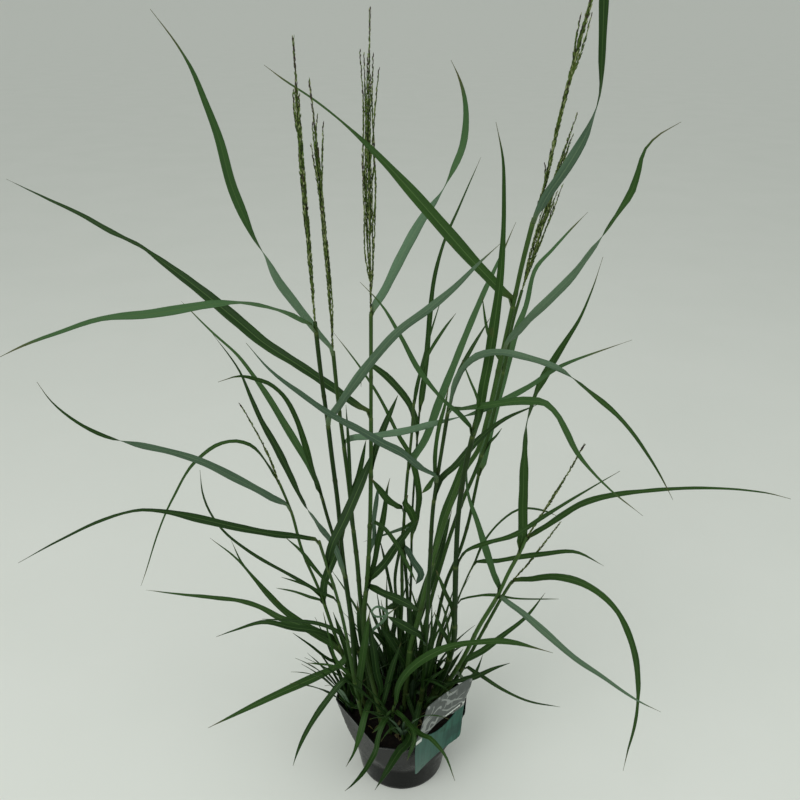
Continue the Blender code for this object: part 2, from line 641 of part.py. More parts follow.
def blade_sides(places, widths, seen, direction):
    """The sideways direction of the blade at each place, turned to show the width seen."""
    across_plan = direction.cross(Vector((0, 0, 1)))
    turns, frames, drift = [], [], 0
    for i, place in enumerate(places):
        ahead = places[min(i + 1, len(places) - 1)] - places[max(i - 1, 0)]
        ahead.normalize()
        to_eye = (EYE - place).normalized()
        facing = (to_eye - ahead * to_eye.dot(ahead)).normalized()
        flat = ahead.cross(facing)
        pixels = widths[i] * PICTURE_SCALE / depth_of(place)
        turn = math.acos(max(-1, min(1, seen[i] / pixels)))
        natural = math.atan2(across_plan.dot(facing), across_plan.dot(flat))
        drift += abs(natural - turn) - abs(natural + turn)
        turns.append(turn)
        frames.append((flat, facing))
    hand = -1 if drift > 0 else 1
    sides = [flat * math.cos(turn) + facing * math.sin(hand * turn)
             for turn, (flat, facing) in zip(turns, frames)]
    sides[0] = across_plan * math.copysign(1, across_plan.dot(sides[1]))
    return sides


def blade_strip(places, widths, sides):
    """A flat strip of two edges through the places."""
    count = len(places) - 1
    bm = bmesh.new()
    bmesh.ops.create_grid(bm, x_segments=1, y_segments=count, size=0.5)
    for vert in bm.verts:
        i = round((vert.co.y + 0.5) * count)
        vert.co = places[i] + sides[i] * math.copysign(widths[i] / 2, vert.co.x)
    return bm


def add_blade(name, places, widths, sides, group, material):
    blade = add_bmesh(name, blade_strip(places, widths, sides), group, material)
    solid = blade.modifiers.new("thickness", "SOLIDIFY")
    solid.thickness = BLADE_THICKNESS
    solid.offset = 0
    return blade


def build_leaf(name, leaf, group, material, sunk=False):
    rows = leaf_route(leaf, sunk)
    length = length_of([Vector(row[:3]) for row in rows])
    count = max(5, round(length / BLADE_STEP))
    rows = along(rows, count)
    places = [Vector(row[:3]) for row in rows]
    seen = [row[3] for row in rows]
    widths = [max(BLADE_END, leaf.width / 1000 * blade_share(i / count)) for i in range(count + 1)]
    sides = blade_sides(places, widths, seen, leaf_direction(leaf))
    return add_blade(name, places, widths, sides, group, material)


def grow_small_leaves(stems, cutters, material):
    """Each small blade starts inside its stem and is joined to it."""
    for number, leaf in enumerate(SMALL_LEAVES):
        blade = build_leaf(f"small_leaf_{number + 1:02d}", leaf, cutters, material, sunk=True)
        hide_cutter(blade)
        add_boolean(stems[leaf.stem], blade, "UNION")


def tuft_blade(foot, direction, length, steep):
    """A short blade that rises steeply and bends over towards its tip."""
    start = foot + Vector((0, 0, 0.5 * TUFT_MOUND_HEIGHT))
    places, widths = [], []
    for i in range(TUFT_BLADE_STEPS + 1):
        share = i / TUFT_BLADE_STEPS
        out = math.cos(steep) * share + 0.25 * share ** 2
        rise = math.sin(steep) * share - 0.20 * share ** 2
        places.append(start + (direction * out + Vector((0, 0, rise))) * length)
        widths.append(max(BLADE_END, TUFT_BLADE_WIDTH * blade_share(share)))
    return places, widths


def build_tuft(name, parts, cutters, material):
    """A low mound at the soil with short blades fanned round it."""
    tuft = TUFTS[name]
    chance = random.Random(tuft.seed)
    base = Vector((*tuft.place, SOIL_TOP + GAP))
    mound = add_frustum(name, base.z, base.z + TUFT_MOUND_HEIGHT, TUFT_MOUND_RADIUS,
                        0.5 * TUFT_MOUND_RADIUS, parts, segments=10)
    for vert in mound.data.vertices:
        vert.co += Vector((base.x, base.y, 0))
    mound.data.materials.append(material)
    for number in range(tuft.blades):
        share = (number + chance.uniform(-0.2, 0.2)) / (tuft.blades - 1) - 0.5
        turn = math.radians(tuft.facing + TUFT_FAN * share)
        direction = Vector((math.cos(turn), math.sin(turn), 0))
        length = TUFT_BLADE_LENGTH * chance.uniform(0.7, 1.3)
        steep = math.radians(chance.uniform(64, 82))
        places, widths = tuft_blade(base + direction * 0.003, direction, length, steep)
        sides = [direction.cross(Vector((0, 0, 1)))] * len(places)
        blade = add_blade(f"{name}_blade_{number + 1}", places, widths, sides, cutters, material)
        hide_cutter(blade)
        add_boolean(mound, blade, "UNION")
    return mound


def main():
    clear_scene()
    parts = new_collection(COLLECTION)
    cutters = new_collection(CUTTERS)

    pot_plastic = new_material("pot_plastic", (0.035, 0.037, 0.038), 0.45)
    potting_soil = new_material("potting_soil", (0.022, 0.015, 0.011), 0.95)
    label_card = new_material("label_card", (0.16, 0.30, 0.27), 0.40)
    stem_green = new_material("stem_green", (0.13, 0.20, 0.07), 0.50)
    leaf_green = new_material("leaf_green", (0.07, 0.15, 0.06), 0.50)
    panicle_green = new_material("panicle_green", (0.16, 0.19, 0.09), 0.65)

    build_pot(parts, cutters, pot_plastic)
    build_soil(parts, potting_soil)
    build_label(parts, label_card)
    stems = {name: as_mesh(build_stem(name, parts, stem_green)) for name in STEMS}
    grow_small_leaves(stems, cutters, stem_green)
    for name in PANICLES:
        build_panicle(name, parts, panicle_green)
    for name, leaf in LEAVES.items():
        build_leaf(name, leaf, parts, leaf_green)
    for name in TUFTS:
        build_tuft(name, parts, cutters, leaf_green)


main()
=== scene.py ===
# %% [markdown]
# # A potted switchgrass
#
# This lesson dresses a clump of switchgrass in a dark nursery pot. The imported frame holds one
# plain solid for every stem, blade, panicle and tuft. Each of them gets a finer piece here that
# stands in the same place: a channelled blade with veins and a midrib, a culm wrapped in leaf
# sheaths, a panicle made of many small spikelets. The pot, its soil and the card label follow.
#
# Everything is in metres with +Z up, and the viewer is on the -Y side.

import math
import random
from collections import namedtuple

import bmesh
import bpy
import numpy as np
from mathutils import Matrix, Vector, noise


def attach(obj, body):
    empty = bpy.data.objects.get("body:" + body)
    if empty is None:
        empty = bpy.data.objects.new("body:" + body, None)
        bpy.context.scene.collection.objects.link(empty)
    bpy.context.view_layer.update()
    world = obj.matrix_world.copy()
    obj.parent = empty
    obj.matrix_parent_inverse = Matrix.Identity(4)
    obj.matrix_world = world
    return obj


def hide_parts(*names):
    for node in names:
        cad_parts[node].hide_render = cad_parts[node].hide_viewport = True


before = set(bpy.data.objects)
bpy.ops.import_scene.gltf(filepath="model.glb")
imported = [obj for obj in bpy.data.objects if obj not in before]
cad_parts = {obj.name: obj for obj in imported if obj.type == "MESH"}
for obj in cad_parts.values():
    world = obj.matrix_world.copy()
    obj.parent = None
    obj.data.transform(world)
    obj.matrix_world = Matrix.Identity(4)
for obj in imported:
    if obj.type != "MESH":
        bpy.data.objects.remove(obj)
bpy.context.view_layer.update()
print("solids in the frame:", len(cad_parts))

# %% [markdown]
# ## The viewpoint
#
# The plant was drawn from one place in front of it. A stem or blade is a short list of points in
# an 800 x 800 picture, and each point is carried into space along its line of sight. A stem lies
# in a plane that leans back a little, and a blade lies in the upright plane of its own compass
# direction. The camera of this scene stands at that same place, so both agree.

# %% Lines of sight
EYE = Vector((-0.0025, -0.915, 1.100))
LOOK_DOWN = math.radians(26.4)
PICTURE_CENTRE = 400
PICTURE_SCALE = 800
SENSOR = 36.0

FORWARD = Vector((0, math.cos(LOOK_DOWN), -math.sin(LOOK_DOWN)))
DOWN = Vector((0, -math.sin(LOOK_DOWN), -math.cos(LOOK_DOWN)))
RIGHT = Vector((1, 0, 0))
UP = Vector((0, 0, 1))


def sight(u, v):
    """The direction in space of a point of the picture."""
    return FORWARD * PICTURE_SCALE + RIGHT * (u - PICTURE_CENTRE) + DOWN * (v - PICTURE_CENTRE)


def meet(u, v, point, normal):
    """Where the sight line through a picture point meets a plane."""
    ray = sight(u, v)
    return EYE + ray * ((point - EYE).dot(normal) / ray.dot(normal))


def depth_of(point):
    return (point - EYE).dot(FORWARD)


def row_of(point):
    return PICTURE_CENTRE + PICTURE_SCALE * (point - EYE).dot(DOWN) / depth_of(point)


def heading(degrees):
    """A level direction: 0 to the right, 90 away from the viewer, 180 to the left."""
    turn = math.radians(degrees)
    return Vector((math.cos(turn), math.sin(turn), 0))


print("a pixel at the pot is about", round(1000 * depth_of(Vector((0, 0, 0.1))) / PICTURE_SCALE, 2), "mm")

# %% Smooth lines
def along(rows, count):
    """Rows of numbers, a place first, read at even steps along the smooth curve through them."""
    rows = np.array(rows, float)
    steps = np.linalg.norm(np.diff(rows[:, :3], axis=0), axis=1)
    at = np.concatenate([[0], np.cumsum(steps)])
    slopes = np.gradient(rows, at, axis=0)
    reach = np.linspace(0, at[-1], count + 1)
    i = np.clip(np.searchsorted(at, reach) - 1, 0, len(steps) - 1)
    h = steps[i][:, None]
    t = (reach - at[i])[:, None] / h
    return (rows[i] * (1 + 2 * t) * (1 - t) ** 2 + slopes[i] * h * t * (1 - t) ** 2
            + rows[i + 1] * t ** 2 * (3 - 2 * t) + slopes[i + 1] * h * t ** 2 * (t - 1))


def running_lengths(places):
    """How far along the line each of its places lies."""
    lengths = [0.0]
    for a, b in zip(places, places[1:]):
        lengths.append(lengths[-1] + (b - a).length)
    return lengths


def length_of(places):
    return running_lengths(places)[-1]


def ahead_at(places, i):
    """The direction of the line at one of its places."""
    return (places[min(i + 1, len(places) - 1)] - places[max(i - 1, 0)]).normalized()


def smooth_step(value, low, high):
    t = max(0, min(1, (value - low) / (high - low)))
    return t * t * (3 - 2 * t)


print("half way up a smooth step:", smooth_step(0.5, 0.0, 1.0))

# %% [markdown]
# ## The camera
#
# A 36 mm lens on a 36 mm sensor sees as far to each side as half its distance, which is what the
# drawing above used. It looks down by the same angle.

# %% Camera
camera_data = bpy.data.cameras.new("camera")
camera_data.sensor_width = SENSOR
camera_data.lens = SENSOR
camera_data.clip_start = 0.01
camera = bpy.data.objects.new("camera", camera_data)
camera.location = EYE
camera.rotation_euler = (math.radians(90) - LOOK_DOWN, 0, 0)
bpy.context.scene.collection.objects.link(camera)
bpy.context.scene.camera = camera
print("camera at", tuple(round(value, 3) for value in camera.location))

# %% [markdown]
# ## Shader arithmetic
#
# A finish is a network of small nodes. Written as Python expressions it reads like the formula
# that it is, so one class wraps a socket and turns +, - and * into Math nodes. Every other node
# comes from `Finish.node`, which makes the settings first and then fills the sockets. A colour is
# written as it looks on a screen, and `Finish.fill` turns it into the light that a shader wants.

# %% A socket that does sums
class Value:
    def __init__(self, finish, socket):
        self.finish = finish
        self.socket = socket

    def __add__(self, other):
        return self.finish.maths("ADD", self, other)

    def __sub__(self, other):
        return self.finish.maths("SUBTRACT", self, other)

    def __rsub__(self, other):
        return self.finish.maths("SUBTRACT", other, self)

    def __mul__(self, other):
        return self.finish.maths("MULTIPLY", self, other)

    __radd__ = __add__
    __rmul__ = __mul__

    def clamp(self):
        return self.finish.node("ShaderNodeClamp", {}, self, 0.0, 1.0)

    def step(self, low, high):
        """0 below low and 1 above high, with a smooth rise between."""
        settings = {"interpolation_type": "SMOOTHSTEP"}
        return self.finish.node("ShaderNodeMapRange", settings, self, low, high, 0.0, 1.0)

    def sine(self):
        return self.finish.maths("SINE", self)

    def size(self):
        return self.finish.maths("ABSOLUTE", self)


def srgb(red, green, blue):
    """A screen colour as linear light."""
    shares = [value / 255 for value in (red, green, blue)]
    return tuple(s / 12.92 if s <= 0.04045 else ((s + 0.055) / 1.055) ** 2.4 for s in shares)


print("a middle grey of 128 is", round(srgb(128, 128, 128)[0], 3), "in linear light")

# %% A finish and its nodes
LAYERS = ("share", "tone", "mark")
# How high and how far out from the middle the clump's painted shade reaches.
CLUMP_HEIGHTS = (0.13, 0.32)
CLUMP_REACH = (0.045, 0.095)


class Finish:
    """One material, its Principled shader and the methods that add nodes to it."""

    def __init__(self, name, roughness, **constants):
        self.material = bpy.data.materials.new(name)
        self.material.use_nodes = True
        self.tree = self.material.node_tree
        self.shader = self.tree.nodes["Principled BSDF"]
        self.wear(Roughness=roughness, **constants)

    def fill(self, socket, value):
        if isinstance(value, Value):
            self.tree.links.new(value.socket, socket)
        elif socket.type == "RGBA":
            socket.default_value = (*srgb(*value), 1.0)
        else:
            socket.default_value = value

    def node(self, kind, settings, *values, out=0, **named):
        node = self.tree.nodes.new(kind)
        for key, setting in settings.items():
            setattr(node, key, setting)
        for socket, value in zip([s for s in node.inputs if s.enabled], values):
            self.fill(socket, value)
        for key, value in named.items():
            self.fill(node.inputs[key.replace("_", " ")], value)
        outputs = [s for s in node.outputs if s.enabled]
        return Value(self, outputs[out] if isinstance(out, int) else node.outputs[out])

    def wear(self, **sockets):
        """Puts values or links into the shader's own sockets."""
        for key, value in sockets.items():
            self.fill(self.shader.inputs[key.replace("_", " ")], value)
        return self.material

    def maths(self, operation, *values):
        return self.node("ShaderNodeMath", {"operation": operation}, *values)

    def place(self):
        return self.node("ShaderNodeTexCoord", {}, out="Object")

    def layers(self):
        """The three numbers that ride on a plant piece's vertices."""
        return [self.node("ShaderNodeAttribute", {"attribute_name": key}, out="Fac") for key in LAYERS]

    def split(self, vector):
        parts = self.node("ShaderNodeSeparateXYZ", {}, vector)
        return [Value(self, output) for output in parts.socket.node.outputs]

    def strip(self):
        """The strip's own coordinates: across it, along it in metres, and both as a vector."""
        uv = self.node("ShaderNodeUVMap", {"uv_map": "strip"})
        across, metres, _ = self.split(uv)
        return across, metres, uv

    def scaled(self, vector, x, y, z):
        return self.node("ShaderNodeVectorMath", {"operation": "MULTIPLY"}, vector, (x, y, z))

    def clump_shade_mask(self):
        """Painted shade: 1 low down in the middle of the clump, 0 where it opens to the light."""
        place = self.place()
        level = self.scaled(place, 1.0, 1.0, 0.0)
        away = self.node("ShaderNodeVectorMath", {"operation": "LENGTH"}, level, out="Value")
        return (1.0 - self.split(place)[2].step(*CLUMP_HEIGHTS)) * (1.0 - away.step(*CLUMP_REACH))

    def noise(self, vector, scale, detail=3.0, roughness=0.5):
        return self.node("ShaderNodeTexNoise", {}, Vector=vector, Scale=scale, Detail=detail,
                         Roughness=roughness)

    def streaks(self, x, y, z):
        return self.noise(self.node("ShaderNodeCombineXYZ", {}, x, y, z), 2.0, detail=4.0)

    def mix(self, share, a, b):
        return self.node("ShaderNodeMix", {"data_type": "RGBA"}, share, a, b)

    def coats(self, colour, *coats):
        """Lays coats over a colour, each a mask and the colour that it shows."""
        for mask, coat in coats:
            colour = self.mix(mask, colour, coat)
        return colour

    def bump(self, height, distance, strength=1.0):
        return self.node("ShaderNodeBump", {}, Strength=strength, Distance=distance, Height=height)


print("layers that the plant's finishes read:", LAYERS)

# %% [markdown]
# ## The blade's finish
#
# A switchgrass blade is ribbed lengthways by fine veins, with one pale midrib. Its upper face is
# a clear green, its underside is duller and bluer, and old tips turn olive and then straw. A
# pattern in space would run through a bent blade like grain through a plank, so this one follows
# the blade and reads the strip's own coordinates. `share` runs from 0 at the collar to 1 at the
# tip, `tone` is one number for each blade, from a dark old one to a light young one, and `mark`
# is how much painted shade it gets in the crown. Painted shade also darkens all that grows low
# in the middle of the clump.

# %% Blade finishes
VEINS = 22.0
BASE_PALE = (96, 112, 58)
TIP_STRAW = (86, 84, 50)
FLECK = (84, 74, 38)
# A dark green laid over blades and sheaths as painted shade, in the crown and low in the clump.
PAINTED_SHADE_GREEN = (13, 37, 7)
CLUMP_SHADE = 0.5


def blade_finish(name, fresh, deep, young, rib, rib_width, roughness, shaded):
    """A leaf face: its greens, its midrib's colour and width, how matt, how much painted shade."""
    finish = Finish(name, roughness, Specular_IOR_Level=0.18)
    across, metres, _ = finish.strip()
    share, tone, mark = finish.layers()
    streaks = finish.streaks(across * 2.2, metres * 9.0, tone * 31.0)
    veins = (across * VEINS * math.pi).sine() * 0.5 + 0.5
    midrib = (1.0 - across.size().step(rib_width * 0.4, rib_width)) * (1.0 - share.step(0.75, 0.97))
    edge = across.size().step(0.92, 1.0)
    base = 1.0 - share.step(0.0, 0.06)
    tip = (share + (streaks - 0.5) * 0.10 + (tone - 0.5) * 0.12).step(0.90, 1.0)
    fleck = finish.noise(finish.place(), 38.0).step(0.70, 0.78) * tone.step(0.35, 0.9)
    green = finish.mix((streaks * 1.4 - 0.25 + (tone - 0.5) * 0.9).clamp(), deep, fresh)
    # The two dark green coats are painted shade: by mark in the crown, and low in the clump.
    green = finish.coats(
        green, (tone.step(0.80, 1.0) * 0.6, young), (mark * shaded, PAINTED_SHADE_GREEN),
        (finish.clump_shade_mask() * CLUMP_SHADE, PAINTED_SHADE_GREEN), ((veins * 0.16).clamp(), fresh),
        (midrib * 0.75, rib), (edge * 0.20, rib), (base * 0.5, BASE_PALE), (tip * 0.8, TIP_STRAW),
        (fleck * 0.45, FLECK))
    relief = veins * 0.6 + streaks * 0.5 + midrib * 0.8
    return finish.wear(Base_Color=green, Roughness=(streaks * 0.2 + (roughness - 0.1)).clamp(),
                       Normal=finish.bump(relief, 0.00012, 0.8))


# The last number is how strongly mark paints shade on this face in the crown.
leaf_upper = blade_finish("leaf_upper", (44, 77, 22), (21, 47, 11), (74, 108, 72), (76, 104, 54),
                          0.08, 0.50, 0.60)
leaf_under = blade_finish("leaf_under", (92, 117, 90), (60, 85, 66), (94, 126, 98), (106, 128, 98),
                          0.08, 0.56, 0.85)
print("blade finishes:", leaf_upper.name, leaf_under.name)

# %% [markdown]
# ## The culm's finish
#
# The culm is hidden by the leaf sheaths that wrap it, each of which starts at a swollen dark
# node and ends at a pale collar, where the blade leaves. The attribute `mark` is 1 at a collar
# and -1 at a node, which spares a material for each. Near the soil the sheaths are pale, with
# pinkish streaks.

# %% Sheath finish
RIBS = 9.0


def sheath_finish():
    finish = Finish("leaf_sheath", 0.5, Specular_IOR_Level=0.12)
    around, metres, _ = finish.strip()
    share, tone, mark = finish.layers()
    streaks = finish.streaks(around * 6.0, metres * 14.0, tone * 23.0)
    ribs = (around * RIBS * 2 * math.pi).sine() * 0.5 + 0.5
    low = 1.0 - (share + (streaks - 0.5) * 0.12).step(0.02, 0.16)
    green = finish.mix((streaks * 1.2 - 0.15 + (tone - 0.5) * 1.0).clamp(), (14, 40, 5), (62, 92, 42))
    # The dark green coat low in the middle of the clump is painted shade.
    green = finish.coats(
        green, (ribs * 0.08, (84, 104, 50)), (low * 0.5, (94, 112, 60)),
        (low * streaks.step(0.56, 0.70) * 0.4, (104, 74, 58)),
        (finish.clump_shade_mask() * CLUMP_SHADE, PAINTED_SHADE_GREEN), (share.step(0.72, 1.0) * 0.15, (66, 80, 44)),
        (mark.clamp() * 0.35, (104, 118, 62)), ((mark * -1.0).clamp() * 0.4, (54, 50, 28)))
    return finish.wear(Base_Color=green, Roughness=(streaks * 0.2 + 0.38).clamp(),
                       Normal=finish.bump(ribs + streaks * 0.6, 0.00010, 0.7))


leaf_sheath = sheath_finish()
print("culm finish:", leaf_sheath.name)

# %% [markdown]
# ## The spikelets' finish
#
# A young switchgrass panicle is a mottle of yellow-green glumes and dark purple-brown ones, with
# pale painted glints of highlight on some. Each spikelet gets a `tone` of its own, and `mark` says
# how far its panicle has coloured there.

# %% Spikelet and twig finishes
def spikelet_finish():
    finish = Finish("spikelet", 0.62, Specular_IOR_Level=0.2)
    share, tone, mark = finish.layers()
    speckle = finish.noise(finish.place(), 900.0, detail=2.0)
    ripe = ((1.0 - tone) * 1.1 + mark - 0.70 + (speckle - 0.5) * 0.3).step(0.24, 0.54)
    green = finish.mix(tone.step(0.05, 0.75), (28, 48, 14), (78, 102, 38))
    # The two pale coats, by tone and in specks, are painted glints of highlight.
    colour = finish.coats(
        green, (tone.step(0.82, 0.92) * 0.7, (164, 172, 128)),
        (speckle.step(0.60, 0.72) * 0.3, (168, 174, 124)), (ripe, (52, 40, 36)),
        (share.step(0.55, 1.0) * 0.30, (62, 44, 38)))
    return finish.wear(Base_Color=colour, Normal=finish.bump(speckle, 0.0002, 0.6))


def twig_finish():
    finish = Finish("panicle_twig", 0.55, Specular_IOR_Level=0.2)
    _, _, mark = finish.layers()
    streaks = finish.noise(finish.scaled(finish.place(), 1.0, 1.0, 0.2), 300.0)
    colour = finish.mix((streaks * 1.4 - 0.2).clamp(), (74, 84, 44), (122, 132, 72))
    colour = finish.mix(mark.clamp() * 0.8, colour, (64, 44, 44))
    return finish.wear(Base_Color=colour, Normal=finish.bump(streaks, 0.0001, 0.5))


spikelet = spikelet_finish()
panicle_twig = twig_finish()
print("panicle finishes:", spikelet.name, panicle_twig.name)

# %% [markdown]
# ## The plant's table
#
# These are the same stems, panicles and blades as the solids have. A stem gives its root on the
# soil, how much it leans back, its thickness and its points from low to high. A blade gives its
# stem and the picture row of its node, its compass direction, its width in millimetres and its
# points. The third number of a blade's point is the width seen there in pixels, below zero where
# the underside shows; a few of these numbers are finer here than in the solids.

# %% Stems
SOIL_TOP = 0.108
GAP = 0.0004
STEM_GIRTH = 0.0050
STEM_TAPER = 0.22

Stem = namedtuple("Stem", "root lean girth points")

STEMS = {
    "stem_01": Stem((368, 712), -0.10, 1.0, [
        (357, 680), (354, 650), (350, 610), (345, 575), (342, 550), (338, 505), (331, 450),
        (328, 425), (321, 375), (315, 322)]),
    "stem_02": Stem((378, 712), 0.05, 1.0, [
        (371, 690), (366, 660), (363, 625), (360, 595), (357, 560), (354, 535), (347, 470),
        (344, 447), (338, 400), (333, 351)]),
    "stem_03": Stem((382, 728), 0.18, 1.0, [
        (377, 700), (370, 672), (365, 640), (364, 612), (367, 582), (370, 520), (371, 455),
        (371, 418), (371, 350), (371, 312)]),
    "stem_04": Stem((404, 710), -0.05, 1.1, [
        (407, 680), (412, 640), (418, 620), (433, 560), (447, 515), (465, 470), (478, 450),
        (487, 420), (503, 350), (513, 306), (522, 265), (534, 218)]),
    "stem_05": Stem((413, 700), 0.14, 0.9, [
        (416, 680), (422, 640), (431, 600), (441, 565), (452, 530), (463, 500), (476, 470),
        (487, 440), (497, 400), (505, 365), (513, 322), (522, 290)]),
    "stem_06": Stem((430, 704), -0.16, 1.0, [
        (447, 683), (462, 660), (480, 625), (497, 597), (510, 570), (520, 552), (527, 537)]),
    "stem_07": Stem((438, 699), 0.06, 0.9, [
        (453, 683), (468, 658), (488, 622), (505, 592), (512, 581)]),
    "stem_08": Stem((360, 700), 0.18, 0.8, [
        (354, 685), (345, 660), (335, 635), (320, 592), (302, 550), (291, 511), (278, 480)]),
    "stem_09": Stem((372, 702), 0.04, 0.9, [
        (364, 675), (356, 640), (349, 600), (341, 560), (333, 535), (326, 512), (319, 486)]),
    "stem_10": Stem((364, 722), -0.20, 0.8, [
        (356, 690), (349, 650), (343, 620), (335, 590), (325, 560), (319, 541)]),
    "stem_11": Stem((419, 718), -0.12, 0.9, [
        (423, 685), (426, 640), (428, 600), (430, 560), (434, 500), (437, 480), (445, 430),
        (449, 405)]),
    "stem_12": Stem((393, 697), 0.12, 0.8, [
        (396, 670), (400, 635), (402, 600), (402, 560), (404, 520), (407, 480), (412, 430),
        (414, 400)]),
    "stem_13": Stem((425, 708), -0.20, 1.2, [
        (441, 680), (452, 650), (455, 600), (456, 560), (460, 500), (466, 465), (474, 430)]),
    "stem_14": Stem((421, 693), 0.19, 0.9, [
        (427, 670), (436, 625), (447, 580), (460, 550), (469, 520), (475, 492), (480, 468)]),
    "stem_15": Stem((402, 690), 0.34, 0.6, [
        (406, 660), (409, 620), (411, 580), (412, 520), (415, 470), (418, 430), (420, 405)]),
    "stem_16": Stem((444, 692), 0.02, 0.5, [
        (447, 670), (451, 630), (458, 600), (466, 580), (475, 561)]),
    "stem_17": Stem((391, 733), -0.10, 0.9, [
        (392, 718), (394, 706)]),
}
print("stems:", len(STEMS))

# %% Panicles
Panicle = namedtuple("Panicle", "stem radius looseness ripe points")

PANICLES = {
    "panicle_01": Panicle("stem_01", 0.0045, 0.60, 0.0, [
        (312, 290), (306, 215), (300, 140), (296, 80), (293, 38)]),
    "panicle_02": Panicle("stem_02", 0.0050, 0.60, 0.0, [
        (330, 300), (324, 230), (318, 160), (313, 112), (309, 80)]),
    "panicle_03": Panicle("stem_03", 0.0070, 0.60, 0.0, [
        (370, 260), (369, 200), (368, 130), (369, 70), (370, 9)]),
    "panicle_04": Panicle("stem_04", 0.0065, 0.34, 0.0, [
        (543, 190), (557, 130), (572, 70), (587, 15), (601, -45)]),
    "panicle_05": Panicle("stem_05", 0.0050, 0.75, -0.22, [
        (533, 255), (545, 215), (560, 165), (577, 114)]),
}

SPIKES = {
    "stem_06": Panicle("stem_06", 0.0028, 0.55, 0.0, [(541, 515), (558, 490), (584, 445)]),
    "stem_07": Panicle("stem_07", 0.0028, 0.55, 0.0, [(525, 567), (535, 555), (560, 523)]),
    "stem_08": Panicle("stem_08", 0.0026, 0.55, 0.0, [(270, 460), (258, 435), (240, 404)]),
}
print("panicles:", len(PANICLES), "and young spikes:", len(SPIKES))

# %% Large blades
Leaf = namedtuple("Leaf", "stem row heading width points")

